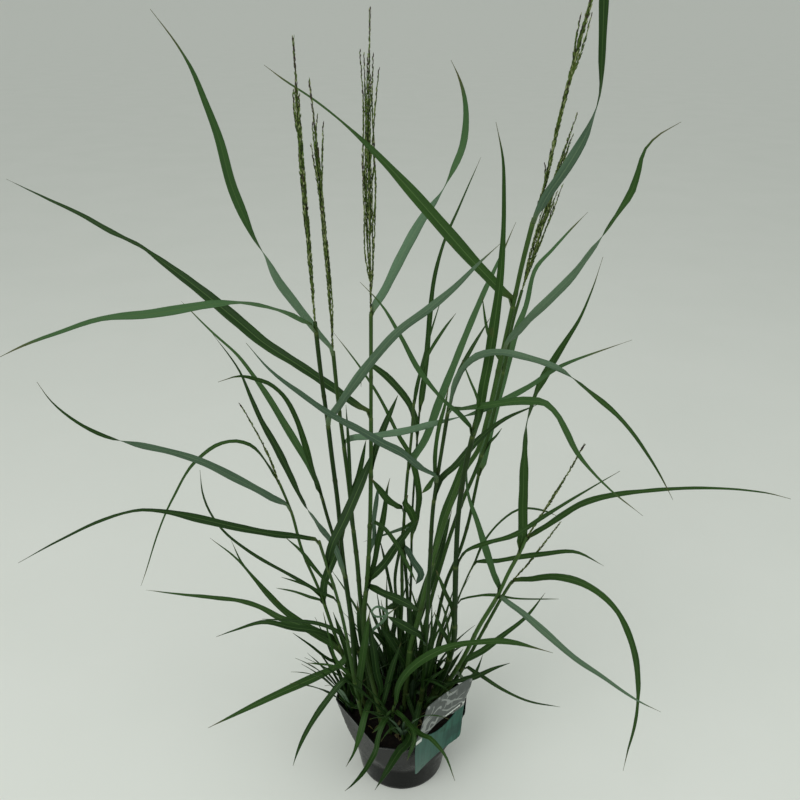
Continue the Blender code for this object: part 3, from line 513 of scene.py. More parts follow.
LEAVES = {
    "leaf_01": Leaf("stem_02", 351, 212, 11, [
        (315, 330, -6), (293, 301, -9), (278, 281, -8), (265, 256, -3), (255, 240, 4), (242, 212, 9),
        (233, 190, 10), (217, 133, 8), (204, 99, 6), (190, 66, 4), (178, 46, 2), (150, 9, 1)]),
    "leaf_02": Leaf("stem_04", 306, 152, 14, [
        (500, 290, 9), (470, 258, 12), (447, 232, 13), (410, 190, 11), (390, 168, 8), (360, 138, 4),
        (340, 120, 2), (313, 99, 2), (280, 77, 1.5), (264, 65, 1)]),
    "leaf_03": Leaf("stem_03", 314, 35, 11, [
        (385, 290, -8), (405, 250, -10), (425, 215, -8), (440, 195, -3), (452, 172, 5), (463, 145, 7),
        (466, 120, 6), (465, 100, 5), (458, 75, 3), (451, 60, 1)]),
    "leaf_04": Leaf("stem_03", 418, 157, 14, [
        (356, 405, 6), (341, 394, 8), (300, 366, 9), (260, 340, 11), (240, 323, 12), (200, 290, 10),
        (160, 260, 6),
        (145, 249, 3), (110, 231, 5), (80, 214, 4), (50, 200, 3), (6, 179, 1)]),
    "leaf_05": Leaf("stem_01", 332, 196, 11, [
        (300, 320, 4), (265, 307, 3), (240, 303, 2), (215, 304, 7), (170, 311, 9), (150, 314, 9),
        (100, 319, 5), (60, 332, 4), (20, 347, 3), (-4, 359, 1)]),
    "leaf_06": Leaf("stem_04", 222, 322, 12, [
        (545, 200, -8), (565, 170, -11), (588, 130, -7), (600, 95, 3), (602, 60, 6), (603, 30, 8),
        (604, 0, 10), (605, -40, 7), (601, -80, 3), (596, -105, 1)]),
    "leaf_07": Leaf("stem_04", 350, 322, 11, [
        (522, 327, -7), (553, 296, -9), (568, 281, -8), (596, 245, -3), (622, 207, 6), (631, 193, 7),
        (637, 176, 6), (646, 148, 3), (655, 138, 2), (681, 122, 1)]),
    "leaf_08": Leaf("stem_14", 476, 48, 11, [
        (490, 430, 8), (497, 400, 9), (505, 370, 9), (515, 335, 7), (526, 306, 5), (535, 270, 4),
        (553, 249, 3), (576, 224, 2), (588, 212, 1)]),
    "leaf_09": Leaf("stem_13", 436, 50, 12, [
        (480, 410, 8), (484, 385, 9), (488, 365, 10), (492, 340, 10), (499, 290, 8), (503, 240, 5),
        (504, 200, 4), (503, 160, 3), (496, 122, 1)]),
    "leaf_10": Leaf("stem_12", 470, 42, 9, [
        (425, 440, 7), (440, 400, 8), (450, 375, 7), (470, 325, 6), (485, 290, 5), (500, 258, 3),
        (516, 222, 1)]),
    "leaf_11": Leaf("stem_01", 425, 325, 12, [
        (340, 405, -7), (350, 390, -9), (375, 357, -9), (400, 330, -8), (430, 308, -8), (455, 287, -6),
        (475, 267, -4), (501, 243, -1)]),
    "leaf_12": Leaf("stem_13", 432, 165, 8, [
        (460, 415, 4), (445, 402, 4), (430, 385, 4), (420, 372, 5), (400, 335, 4), (380, 303, 2),
        (360, 282, 1)]),
    "leaf_13": Leaf("stem_02", 447, 330, 8, [
        (375, 436, -6), (400, 432, -7), (440, 422, -5), (480, 411, 5), (500, 402, 6), (530, 386, 5),
        (557, 368, 4), (600, 351, 2), (632, 340, 1)]),
    "leaf_14": Leaf("stem_11", 408, 335, 9, [
        (455, 385, -5), (462, 370, -6), (480, 355, -7), (495, 352, -7), (525, 357, -6), (557, 368, -6),
        (590, 392, 5), (620, 418, 4), (648, 455, 3), (667, 488, 2), (673, 500, 1)]),
    "leaf_15": Leaf("stem_11", 413, 318, 9, [
        (462, 409, 4), (490, 405, 6), (530, 401, 8), (545, 403, 7), (556, 413, 5), (566, 431, 6),
        (576, 451, 5), (589, 468, 3), (604, 484, 2), (643, 516, 1)]),
    "leaf_16": Leaf("stem_06", 553, 150, 9, [
        (523, 500, 9), (524, 465, 8), (525, 442, 4), (526, 426, 1), (530, 411, 1), (534, 398, 4),
        (545, 375, 8), (560, 350, 6),
        (580, 318, 3), (592, 290, 2), (603, 257, 1)]),
    "leaf_17": Leaf("stem_06", 598, 308, 8, [
        (510, 604, -5), (520, 611, -6), (540, 628, -7), (580, 662, -5), (600, 675, -4), (640, 702, -2),
        (661, 712, -1)]),
    "leaf_18": Leaf("stem_07", 583, 328, 9, [
        (532, 579, 5), (558, 577, 7), (584, 584, 7), (599, 593, 6), (617, 611, 5), (627, 630, 6),
        (635, 655, 6), (638, 681, 5), (638, 699, 3), (635, 724, 3), (628, 750, 2), (623, 771, 1)]),
    "leaf_19": Leaf("stem_06", 541, 348, 8, [
        (548, 525, 5), (563, 515, 6), (579, 505, 6), (599, 498, 6), (619, 494, 5), (645, 491, 4),
        (693, 488, 3), (744, 490, 2), (767, 493, 2), (791, 499, 1)]),
    "leaf_20": Leaf("stem_08", 655, 155, 11, [
        (320, 637, 6), (300, 625, 8), (280, 618, 6), (262, 608, 5), (245, 602, 4), (217, 598, 4),
        (178, 594, 2), (146, 590, 1)]),
    "leaf_21": Leaf("stem_10", 541, 200, 10, [
        (300, 537, 5), (280, 535, 6), (240, 528, 7), (200, 519, 8), (160, 511, 4), (140, 510, 2),
        (120, 514, 3), (100, 521, 3), (60, 540, 2), (18, 563, 1)]),
    "leaf_22": Leaf("stem_08", 511, 208, 11, [
        (270, 497, -6), (235, 478, -8), (200, 461, -7), (175, 453, -6), (130, 443, -4), (110, 438, 3),
        (80, 424, 3), (50, 400, 2), (37, 382, 1)]),
    "leaf_23": Leaf("stem_09", 492, 135, 8, [
        (310, 468, 5), (300, 450, 7), (285, 425, 7), (270, 400, 6), (253, 375, 4), (240, 358, 3),
        (212, 332, 2), (181, 301, 1)]),
    "leaf_24": Leaf("stem_09", 498, 220, 8, [
        (314, 475, 4), (308, 455, 6), (303, 438, 6), (296, 418, 5), (280, 392, 4), (268, 383, 4),
        (255, 379, 4), (240, 376, 3), (218, 382, 1)]),
    "leaf_25": Leaf("stem_01", 575, 228, 9, [
        (335, 548, -5), (320, 527, -5), (302, 500, 3), (290, 475, 6), (275, 445, 7), (262, 422, 5),
        (252, 400, 4), (240, 372, 2), (212, 333, 1)]),
    "leaf_26": Leaf("stem_11", 482, 222, 11, [
        (420, 468, -5), (400, 452, -8), (380, 442, -8), (365, 433, -7), (330, 414, -6), (300, 393, -5),
        (270, 370, -3), (246, 343, -1)]),
    "leaf_27": Leaf("stem_15", 540, 125, 9, [
        (417, 515, 5), (419, 495, 6), (416, 475, 6), (410, 455, 5), (400, 438, 4), (381, 400, 3),
        (362, 370, 2), (334, 333, 1)]),
    "leaf_28": Leaf("stem_09", 650, 204, 13, [
        (340, 665, 5), (320, 675, 8), (300, 684, 8), (280, 693, 7), (240, 712, 4), (208, 728, 1)]),
    "leaf_29": Leaf("stem_03", 585, 20, 12, [
        (385, 563, 8), (393, 551, 8), (400, 541, 7), (409, 530, 5), (418, 520, 2)]),
    "leaf_30": Leaf("stem_17", 708, 350, 11, [
        (399, 685, 5), (405, 675, 7), (415, 665, 8), (430, 655, 8), (456, 645, 6), (480, 642, 5),
        (502, 641, 6), (517, 643, 5), (532, 647, 3), (553, 653, 1)]),
}
print("large blades:", len(LEAVES))

# %% Small blades that the stems carry
SMALL_LEAVES = [
    Leaf("stem_11", 500, 20, 9, [
        (440, 480, 5), (455, 466, 7), (478, 440, 6), (500, 422, 4), (541, 403, 1)]),
    Leaf("stem_06", 592, 160, 8, [
        (493, 572, 6), (485, 547, 7), (477, 521, 5), (469, 498, 3), (466, 452, 1)]),
    Leaf("stem_13", 566, 350, 7, [
        (464, 553, 3), (487, 543, 4), (512, 536, 5), (543, 517, 4), (584, 492, 2), (620, 471, 1)]),
    Leaf("stem_16", 566, 348, 7, [
        (497, 561, 4), (520, 557, 5), (543, 554, 5), (576, 552, 3), (604, 566, 1)]),
    Leaf("stem_16", 570, 25, 4, [
        (485, 540, 2), (500, 522, 2), (515, 511, 2), (545, 511, 2), (557, 516, 1)]),
    Leaf("stem_16", 604, 5, 4, [
        (476, 596, 2), (494, 595, 3), (512, 598, 2), (559, 599, 1)]),
    Leaf("stem_06", 666, 25, 9, [
        (484, 650, 6), (502, 636, 5), (527, 616, 3), (545, 593, 1)]),
    Leaf("stem_07", 668, 325, 6, [
        (475, 672, 4), (500, 688, 3), (525, 700, 2), (560, 707, 1)]),
    Leaf("stem_13", 690, 3, 7, [
        (458, 681, 4), (472, 678, 5), (495, 668, 3), (510, 663, 1)]),
    Leaf("stem_08", 484, 195, 6, [
        (268, 465, 2), (248, 444, 3), (235, 441, 3), (222, 443, 4), (197, 460, 3), (172, 500, 2),
        (141, 586, 1)]),
    Leaf("stem_08", 645, 188, 9, [
        (325, 634, 5), (290, 627, 6), (265, 622, 4), (235, 630, 2), (216, 637, 1)]),
    Leaf("stem_08", 660, 140, 5, [
        (310, 633, 3), (275, 604, 3), (237, 559, 2), (210, 538, 1)]),
    Leaf("stem_10", 602, 188, 5, [
        (320, 592, 3), (290, 575, 3), (250, 552, 3), (220, 527, 2), (203, 495, 2), (200, 470, 1)]),
    Leaf("stem_10", 700, 215, 10, [
        (345, 680, 5), (325, 703, 6), (312, 722, 5), (298, 750, 3), (293, 766, 1)]),
    Leaf("stem_02", 700, 254, 10, [
        (366, 712, 6), (360, 735, 6), (355, 750, 3), (346, 767, 1)]),
    Leaf("stem_15", 440, 165, 9, [
        (410, 405, 6), (395, 385, 7), (380, 371, 6), (372, 366, 5), (363, 370, 3), (361, 387, 1)]),
    Leaf("stem_15", 412, 35, 7, [
        (426, 365, 5), (430, 315, 5), (434, 280, 4), (443, 245, 3), (460, 205, 2), (481, 157, 1)]),
    Leaf("stem_03", 590, 325, 11, [
        (385, 594, 7), (400, 600, 8), (411, 606, 7), (420, 612, 3)]),
    Leaf("stem_10", 570, 55, 12, [
        (332, 545, 8), (342, 525, 10), (355, 496, 10), (368, 465, 6), (373, 450, 2)]),
    Leaf("stem_11", 700, 254, 11, [
        (417, 715, 5), (411, 735, 7), (398, 753, 8), (385, 774, 5), (375, 790, 1)]),
]
print("small blades:", len(SMALL_LEAVES))

# %% [markdown]
# ## Blades that only the looks need
#
# The solids leave out the finest growth: thin tillers' tips, a dried curled blade, and the many
# short blades at the crown. They are drawn in the same way, and each
# is part of the piece of the stem that carries it, so nothing floats. Where a point has a fourth
# number, the blade lies that far in front of its plane there, as when it hangs over the rim.

# %% Fine blades, drawn one by one
FINE_LEAVES = [
    Leaf("stem_17", 712, 308, 7, [
        (402, 716, 4), (412, 727, 5), (422, 735, 5), (430, 738, 4), (437, 745, 4), (443, 752, 3),
        (455, 781, 1)]),
    Leaf("stem_17", 718, 245, 8, [
        (384, 722, 4), (378, 738, 5), (376, 750, 5), (370, 762, 5), (352, 785, 2), (345, 791, 1)]),
    Leaf("stem_17", 714, 340, 7, [
        (400, 715, 3, 0.008), (407, 723, 4, 0.028), (413, 731, 4, 0.048), (415, 739, 4, 0.060),
        (411, 750, 4, 0.064), (407, 761, 2, 0.066)]),
    Leaf("stem_17", 712, 200, 5, [(386, 716, 3), (378, 728, 3), (372, 733, 1)]),
    Leaf("stem_01", 705, 190, 7, [(356, 707, 4), (350, 703, 4), (339, 697, 2)]),
    Leaf("stem_01", 698, 205, 7, [(356, 688, 5), (348, 679, 4), (341, 671, 2)]),
    Leaf("stem_10", 640, 196, 6, [(335, 630, 4), (320, 624, 4), (300, 621, 3), (262, 619, 1)]),
    Leaf("stem_08", 640, 175, 6, [
        (318, 630, 3), (306, 624, 4), (288, 612, 4), (265, 589, 3), (242, 563, 2), (231, 540, 1)]),
    Leaf("stem_08", 668, 200, 5, [(330, 660, 3), (310, 645, 2), (293, 633, 1)]),
    Leaf("stem_10", 676, 180, 4, [(330, 665, 2), (320, 664, 2), (308, 663, 1)]),
    Leaf("stem_10", 682, 160, 4, [(336, 660, 3), (330, 640, 2), (323, 612, 1)]),
    Leaf("stem_08", 600, 210, 4, [(312, 588, 3), (300, 583, 2), (281, 577, 1)]),
    Leaf("stem_08", 604, 165, 4, [(310, 597, 3), (296, 592, 2), (276, 588, 1)]),
    Leaf("stem_10", 590, 165, 5, [(325, 580, 3), (312, 565, 4), (302, 552, 3), (285, 537, 1)]),
    Leaf("stem_12", 402, 60, 5, [(418, 380, 3), (427, 357, 3), (440, 335, 3), (456, 313, 1)]),
    Leaf("stem_12", 404, 30, 4, [(421, 370, 3), (430, 335, 2), (441, 300, 1)]),
    Leaf("stem_05", 372, 115, 4, [(494, 350, 3), (488, 333, 3), (482, 295, 1)]),
    Leaf("stem_11", 408, 40, 5, [(455, 382, 4), (468, 355, 4), (490, 318, 1)]),
    Leaf("stem_12", 512, 215, 9, [(397, 506, 5), (388, 500, 7), (380, 490, 6), (371, 478, 2)]),
    Leaf("stem_03", 470, 60, 8, [(374, 455, 6), (385, 425, 6), (398, 395, 2)]),
    Leaf("stem_08", 604, 30, 10, [(324, 585, 7), (333, 560, 8), (345, 530, 3)]),
    Leaf("stem_02", 500, 45, 6, [(353, 490, 4), (357, 480, 5), (366, 440, 2)]),
    Leaf("stem_12", 530, 340, 9, [(414, 524, 7), (411, 512, 8), (405, 503, 6), (408, 495, 2)]),
    Leaf("stem_13", 434, 120, 5, [(478, 400, 3), (470, 380, 2), (462, 360, 1)]),
    Leaf("stem_05", 455, 20, 4, [(490, 442, 3), (496, 436, 2), (502, 428, 1)]),
    Leaf("stem_06", 678, 60, 5, [(465, 678, 3), (477, 670, 3), (483, 654, 1)]),
    Leaf("stem_12", 550, 330, 10, [(405, 548, -4), (413, 561, -6), (421, 574, -7), (416, 584, -4)]),
    Leaf("stem_03", 524, 320, 6, [(380, 525, 4), (397, 545, 4), (405, 560, 4), (416, 582, 2)]),
    Leaf("stem_11", 644, 200, 12, [(421, 636, 6), (413, 631, 8), (401, 624, 8), (387, 616, 3)]),
    Leaf("stem_04", 650, 20, 13, [
        (414, 632, 7), (420, 610, 10), (428, 585, 10), (437, 560, 8), (446, 530, 5), (452, 510, 1)]),
    Leaf("stem_13", 625, 205, 6, [(453, 612, 4), (445, 592, 4), (436, 570, 2)]),
    Leaf("stem_13", 658, 215, 6, [(449, 645, 4), (442, 630, 4), (434, 612, 2)]),
    Leaf("stem_13", 650, 235, 3, [(449, 637, 2), (446, 617, 2), (438, 595, 1)]),
    Leaf("stem_11", 656, 20, 3, [(432, 645, 2), (440, 628, 2), (452, 613, 1)]),
    Leaf("stem_12", 636, 150, 4, [(397, 618, 2), (391, 590, 3), (386, 566, 3), (379, 536, 1)]),
    Leaf("stem_12", 642, 170, 4, [
        (398, 622, 2), (396, 598, 3), (395, 578, 3), (400, 548, 3), (404, 518, 1)]),
    Leaf("stem_15", 640, 60, 4, [(408, 620, 2), (407, 590, 3), (405, 560, 3), (404, 528, 1)]),
    Leaf("stem_03", 706, 310, 8, [(381, 706, 4), (388, 718, 5), (393, 728, 5), (399, 735, 2)]),
    Leaf("stem_04", 692, 300, 6, [(408, 698, 4), (412, 710, 4), (418, 728, 2)]),
    Leaf("stem_04", 704, 232, 4, [(402, 706, 3), (401, 714, 2), (399, 722, 1)]),
    Leaf("stem_02", 706, 295, 4, [(376, 716, 3), (379, 728, 3), (385, 742, 1)]),
    Leaf("stem_11", 688, 5, 5, [(430, 680, 3), (436, 675, 3), (445, 669, 1)]),
    Leaf("stem_13", 700, 45, 5, [(436, 688, 3), (440, 675, 3), (447, 662, 1)]),
    Leaf("stem_11", 708, 350, 5, [(425, 704, 3), (432, 698, 3), (438, 696, 1)]),
    Leaf("stem_02", 530, 60, 4, [(351, 500, 3), (350, 470, 3), (348, 436, 3), (346, 405, 1)]),
    Leaf("stem_03", 592, 60, 8, [
        (375, 560, 5), (378, 542, 6), (382, 525, 6), (385, 507, 5), (387, 490, 3), (390, 478, 1)]),
    Leaf("stem_03", 556, 75, 5, [(374, 540, -4), (374, 520, -4), (377, 496, -4), (378, 484, -1)]),
    Leaf("stem_11", 492, 60, 6, [
        (435, 471, 4), (436, 445, 4), (439, 427, 4), (445, 405, 3), (449, 385, 1)]),
    Leaf("stem_04", 562, 70, 12, [
        (438, 540, 7), (446, 512, 9), (457, 485, 9), (466, 458, 6), (472, 440, 1)]),
    Leaf("stem_11", 480, 200, 8, [(430, 485, 6), (422, 493, 2)]),
    Leaf("stem_12", 622, 190, 9, [(394, 606, 7), (385, 609, 3)]),
    Leaf("stem_02", 694, 150, 11, [
        (369, 674, 7), (366, 655, 8), (362, 635, 8), (359, 617, 5), (357, 600, 1)]),
    Leaf("stem_10", 704, 20, 10, [
        (359, 688, 6), (361, 668, 7), (364, 648, 7), (367, 628, 5), (370, 610, 1)]),
    Leaf("stem_02", 640, 310, 9, [
        (368, 648, 5), (370, 668, 6), (374, 692, 6), (378, 712, 4), (382, 730, 1)]),
    Leaf("stem_01", 700, 150, 8, [(354, 680, 5), (348, 655, 6), (341, 634, 5), (333, 612, 1)]),
]
CROWN_LEAVES = [
    Leaf("stem_12", 678, 188, 13, [
        (402, 668, 8), (395, 655, 9), (385, 643, 9), (376, 634, 5), (367, 628, 1)]),
    Leaf("stem_04", 682, 192, 10, [(406, 668, 6), (395, 648, 7), (386, 634, 6), (379, 623, 1)]),
    Leaf("stem_03", 702, 165, 11, [
        (381, 690, 7), (377, 674, 8), (374, 652, 8), (371, 634, 6), (370, 618, 1)]),
    Leaf("stem_15", 684, 150, 11, [
        (405, 668, 7), (404, 650, 8), (401, 630, 7), (398, 612, 4), (396, 598, 1)]),
    Leaf("stem_12", 692, 20, 11, [
        (399, 674, 7), (403, 654, 8), (408, 634, 7), (413, 614, 4), (417, 598, 1)]),
    Leaf("stem_11", 692, 25, 10, [
        (426, 672, 6), (429, 654, 7), (432, 638, 6), (435, 624, 3), (437, 612, 1)]),
    Leaf("stem_04", 698, 340, 7, [(418, 692, 4), (424, 696, 5), (430, 702, 3), (434, 706, 1)]),
    Leaf("stem_12", 676, 320, 8, [
        (402, 680, 4), (407, 687, 5), (411, 701, 5), (416, 713, 4), (420, 723, 1)]),
    Leaf("stem_13", 702, 30, 11, [
        (434, 690, 6), (443, 677, 7), (451, 666, 6), (458, 656, 3), (463, 649, 1)]),
    Leaf("stem_07", 694, 20, 9, [(444, 688, 5), (452, 676, 6), (459, 667, 4), (465, 660, 1)]),
    Leaf("stem_04", 702, 150, 12, [
        (408, 684, 7), (410, 664, 8), (411, 642, 8), (411, 622, 6), (409, 602, 3), (407, 588, 1)]),
    Leaf("stem_11", 704, 35, 12, [
        (424, 690, 7), (428, 674, 9), (433, 658, 7), (438, 645, 4), (442, 634, 1)]),
    Leaf("stem_12", 694, 165, 12, [
        (393, 676, 8), (391, 656, 9), (388, 636, 8), (384, 616, 4), (381, 600, 1)]),
    Leaf("stem_05", 690, 160, 12, [
        (411, 678, 7), (406, 662, 9), (398, 646, 9), (390, 634, 6), (382, 625, 1)]),
    Leaf("stem_05", 694, 20, 11, [
        (418, 680, 7), (421, 664, 8), (424, 650, 7), (427, 637, 4), (430, 626, 1)]),
    Leaf("stem_03", 712, 20, 10, [
        (384, 700, 6), (388, 684, 7), (392, 668, 7), (397, 654, 4), (401, 643, 1)]),
]
CURLED_LEAF = Leaf("stem_03", 650, 20, 4, [
    (369, 640, -3), (373, 630, -3), (382, 622, -3), (387, 614, -3), (382, 608, -3), (376, 607, -2),
    (372, 611, -2), (375, 616, -2), (384, 616, -2), (392, 611, -2), (399, 606, -1)])
print("fine blades:", len(FINE_LEAVES) + 1, "and broad ones at the crown:", len(CROWN_LEAVES))

# %% [markdown]
# ## A piece and its layers
#
# Every plant piece is one bmesh. Three numbers ride on its vertices (`share`, `tone`, `mark`)
# and one UV map, `strip`, on its corners, which is where the finishes above look. The layers are
# made before the first vertex, because adding one later would lose hold of the mesh. Operators
# are quick on a small mesh and slow on a large one, so most parts are built apart and taken in.

# %% Making an object
def mesh_object(name, bm, materials=(), smooth=True):
    mesh = bpy.data.meshes.new(name)
    bm.to_mesh(mesh)
    bm.free()
    if smooth:
        mesh.shade_smooth()
    for material in materials:
        mesh.materials.append(material)
    item = bpy.data.objects.new(name, mesh)
    bpy.context.scene.collection.objects.link(item)
    return item


def finish_piece(name, bm, slot, materials, *nodes):
    """Makes the object, and hides the solids that it stands for."""
    item = mesh_object(name, bm, materials)
    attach(item, "root")
    if nodes:
        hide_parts(*nodes)
    return item


print("objects are made by mesh_object, and pieces by finish_piece")

# %% A plant piece
class Piece:
    """A bmesh with the layers that the plant's finishes read."""

    def __init__(self, name, slot, materials):
        self.name = name
        self.slot = slot
        self.materials = materials
        self.bm = bmesh.new()
        self.uv = self.bm.loops.layers.uv.new("strip")
        self.layers = {key: self.bm.verts.layers.float.new(key) for key in LAYERS}

    def note(self, vert, **values):
        for key, value in values.items():
            vert[self.layers[key]] = value

    def add(self, build, *details, **named):
        """Lets a function build on an empty piece, and takes in what it has made."""
        part = Piece(self.name, self.slot, self.materials)
        result = build(part, *details, **named)
        mesh = bpy.data.meshes.new("part")
        part.bm.to_mesh(mesh)
        part.bm.free()
        self.bm.from_mesh(mesh)
        bpy.data.meshes.remove(mesh)
        return result

    def finish(self, *nodes):
        return finish_piece(self.name, self.bm, self.slot, self.materials, *nodes)


LEAF_SET = [leaf_upper, leaf_under]
STEM_SET = [leaf_sheath, leaf_upper, leaf_under, spikelet, panicle_twig]
PANICLE_SET = [spikelet, panicle_twig]
print("layers: share, tone, mark and the strip's UV map")

# %% [markdown]
# ## Reading a stem
#
# A stem's line is the smooth curve through its points. A blade needs to know where that line is
# at its own picture row, how thick the stem is there, and which way the stem runs.

# %% Stem lines
STEM_STEP = 0.006
SHEATH_WRAPS = 0.30
CULM_FULLNESS = 1.16


def stem_plane(stem):
    root = meet(*stem.root, Vector((0, 0, SOIL_TOP + GAP)), UP)
    return root, Vector((0, 1, -stem.lean))


def stem_line(stem):
    root, normal = stem_plane(stem)
    route = [root] + [meet(u, v, root, normal) for u, v in stem.points]
    return [Vector(row) for row in along(route, round(length_of(route) / STEM_STEP))]


def culm_radius(stem, share):
    """A culm tapers a little, and low down several sheaths wrap it."""
    wraps = 1 + SHEATH_WRAPS * (1 - share) ** 1.5
    return CULM_FULLNESS * STEM_GIRTH / 2 * stem.girth * (1 - STEM_TAPER * share) * wraps


LINES = {name: stem_line(stem) for name, stem in STEMS.items()}


def stem_at(name, row):
    """The place, radius and direction of a stem at a picture row."""
    line = LINES[name]
    index = next((i for i, place in enumerate(line) if row_of(place) <= row), len(line) - 1)
    index = min(max(index, 1), len(line) - 2)
    low, high = row_of(line[index - 1]), row_of(line[index])
    share = max(0, min(1, (low - row) / (low - high)))
    place = line[index - 1].lerp(line[index], share)
    return place, culm_radius(STEMS[name], index / (len(line) - 1)), ahead_at(line, index)


print("longest stem:", round(max(length_of(line) for line in LINES.values()), 3), "m")

# %% [markdown]
# ## A blade
#
# A curve with a bevel would make a round wire, and a flat plane would have no spring in it. So a
# blade is a grid, seven vertices wide and one row for each centimetre, laid along its route. At
# the collar it hugs the stem in a half pipe. Further out that opens into a shallow channel with a
# crease at the midrib, the edges wave a little, and the tip is drawn out fine. The grid gets its
# thickness from the solidify operator, whose new faces are the underside. The operator goes by
# the faces' normals, so these are worked out again after the vertices have moved.

# %% A strip of faces
def strip_grid(piece, columns, places, material, scale, shift):
    """A grid with a row for each place: where its vertices lie in it, its faces and lengths."""
    metres = running_lengths(places)
    count = len(places) - 1
    grid = bmesh.ops.create_grid(piece.bm, x_segments=columns, y_segments=count, size=0.5)
    spots = {v: (scale * v.co.x + shift, round((v.co.y + 0.5) * count)) for v in grid["verts"]}
    faces = list(dict.fromkeys(face for vert in spots for face in vert.link_faces))
    for face in faces:
        face.material_index = material
        for loop in face.loops:
            column, i = spots[loop.vert]
            loop[piece.uv].uv = (column, metres[i])
    return spots, faces, metres


print("a strip carries its own coordinates in metres")

# %% Which way a blade faces
FACING_REACH = 2
FIRST_FREE_ROW = 4
FACING_LENGTH = 0.022


def blade_sides(places, widths, seen, across_plan):
    """The sideways direction of the blade at each place, turned to show the width seen."""
    turns, frames, drift = [], [], 0
    for i, place in enumerate(places):
        ahead = ahead_at(places, i)
        to_eye = (EYE - place).normalized()
        facing = (to_eye - ahead * to_eye.dot(ahead)).normalized()
        flat = ahead.cross(facing)
        pixels = widths[i] * PICTURE_SCALE / depth_of(place)
        turn = math.acos(max(-1, min(1, seen[i] / pixels)))
        natural = math.atan2(across_plan.dot(facing), across_plan.dot(flat))
        drift += abs(natural - turn) - abs(natural + turn)
        turns.append(turn)
        frames.append((flat, facing))
    hand = -1 if drift > 0 else 1
    padded = [turns[0]] * FACING_REACH + turns + [turns[-1]] * FACING_REACH
    span = 2 * FACING_REACH + 1
    turns = [sum(padded[i:i + span]) / span for i in range(len(turns))]
    sides = [flat * math.cos(turn) + facing * math.sin(hand * turn)
             for turn, (flat, facing) in zip(turns, frames)]
    towards = sides[min(FIRST_FREE_ROW, len(sides) - 1)]
    first = across_plan * math.copysign(1, across_plan.dot(towards))
    return [first.lerp(side, smooth_step(gone, 0.0, FACING_LENGTH)).normalized()
            for side, gone in zip(sides, running_lengths(places))]


print("a blade's turn is evened out over", 2 * FACING_REACH + 1, "rows")

# %% Blade geometry
BLADE_COLUMNS = 6
BLADE_ROW = 0.010
BLADE_THICKNESS = 0.00035
BLADE_TIP = 0.0003
HUG_START = 0.004
HUG_LENGTH = 0.016
CHANNEL = 26.0
CHANNEL_LOSS = 0.7
CREASE = 0.10
WAVE_HEIGHT = 0.0007
WAVE_LENGTH = 0.055
CALM_HALF_WIDTH = 0.003


def blade_share(t):
    """A blade's width along its length: narrow at the collar, drawn out to a point."""
    return min(1, 0.78 + 2 * t) * (1 - t ** 1.8)


def plain_widths(width, steps):
    return [max(BLADE_TIP, width * blade_share(i / steps)) for i in range(steps + 1)]


def add_blade(piece, places, widths, sides, tone, hug=None, material=0, mark=0.0, wave=WAVE_HEIGHT):
    """A solid blade along the places. hug is the stem's axis point and radius at its collar."""
    spots, faces, metres = strip_grid(piece, BLADE_COLUMNS, places, material, 2, 0)
    ups = [side.cross(ahead_at(places, i)).normalized() for i, side in enumerate(sides)]
    toward = math.copysign(1, ups[0].dot(hug[0] - places[0])) if hug else 1.0
    phase = 40 * tone
    pace = 1 + 0.3 * math.sin(phase)
    for vert, (u, i) in spots.items():
        half = widths[i] / 2
        t = metres[i] / metres[-1]
        opened = smooth_step(metres[i], HUG_START, HUG_LENGTH)
        bend = CHANNEL * (1 - CHANNEL_LOSS * t)
        if hug:
            bend += (toward / hug[1] - bend) * (1 - opened)
        angle = u * half * bend
        out = math.sin(angle) / bend
        rise = (1 - math.cos(angle)) / bend + CREASE * abs(u) * half * opened
        ripple = math.sin(metres[i] / WAVE_LENGTH * 2 * math.pi * pace + phase + 1.7 * u)
        rise += wave * ripple * u * u * opened * min(1, half / CALM_HALF_WIDTH)
        vert.co = places[i] + sides[i] * out + ups[i] * rise
        piece.note(vert, share=t, tone=tone, mark=mark)
    piece.bm.normal_update()
    shell = bmesh.ops.solidify(piece.bm, geom=faces, thickness=BLADE_THICKNESS)
    for face in shell["geom"]:
        if isinstance(face, bmesh.types.BMFace):
            face.material_index = material + 1


print("a blade has", BLADE_COLUMNS + 1, "vertices across")

# %% [markdown]
# ## From a row of the table to a blade
#
# The route starts on the stem's surface, on the side that the blade leaves by, runs a few
# millimetres up with the stem, and then follows the blade's own points.

# %% Leaf routes
WIDEST = 1.35
LIFT = 0.003


def leaf_route(leaf, sunk):
    """Rows of a place and the width seen there, and the stem's axis point and radius."""
    foot, radius, ahead = stem_at(leaf.stem, leaf.row)
    direction = heading(leaf.heading)
    normal = Vector((-direction.y, direction.x, 0))
    column, row, first_seen = leaf.points[0][:3]
    first = meet(column, row, foot, normal)
    beside, _, _ = stem_at(leaf.stem, row)
    outward = direction * math.copysign(1, (first - beside).dot(direction))
    start = foot + outward * (radius + GAP)
    lift = start + ahead * min(LIFT, 0.3 * (first - start).length)
    rows = [(*start, 0.7 * first_seen), (*lift, 0.8 * first_seen)]
    plane_point = foot if sunk else start
    for u, v, seen, *nearer in leaf.points:
        shift = Vector((0, -sum(nearer), 0))
        rows.append((*meet(u, v, plane_point + shift, normal), seen))
    return rows, foot, radius


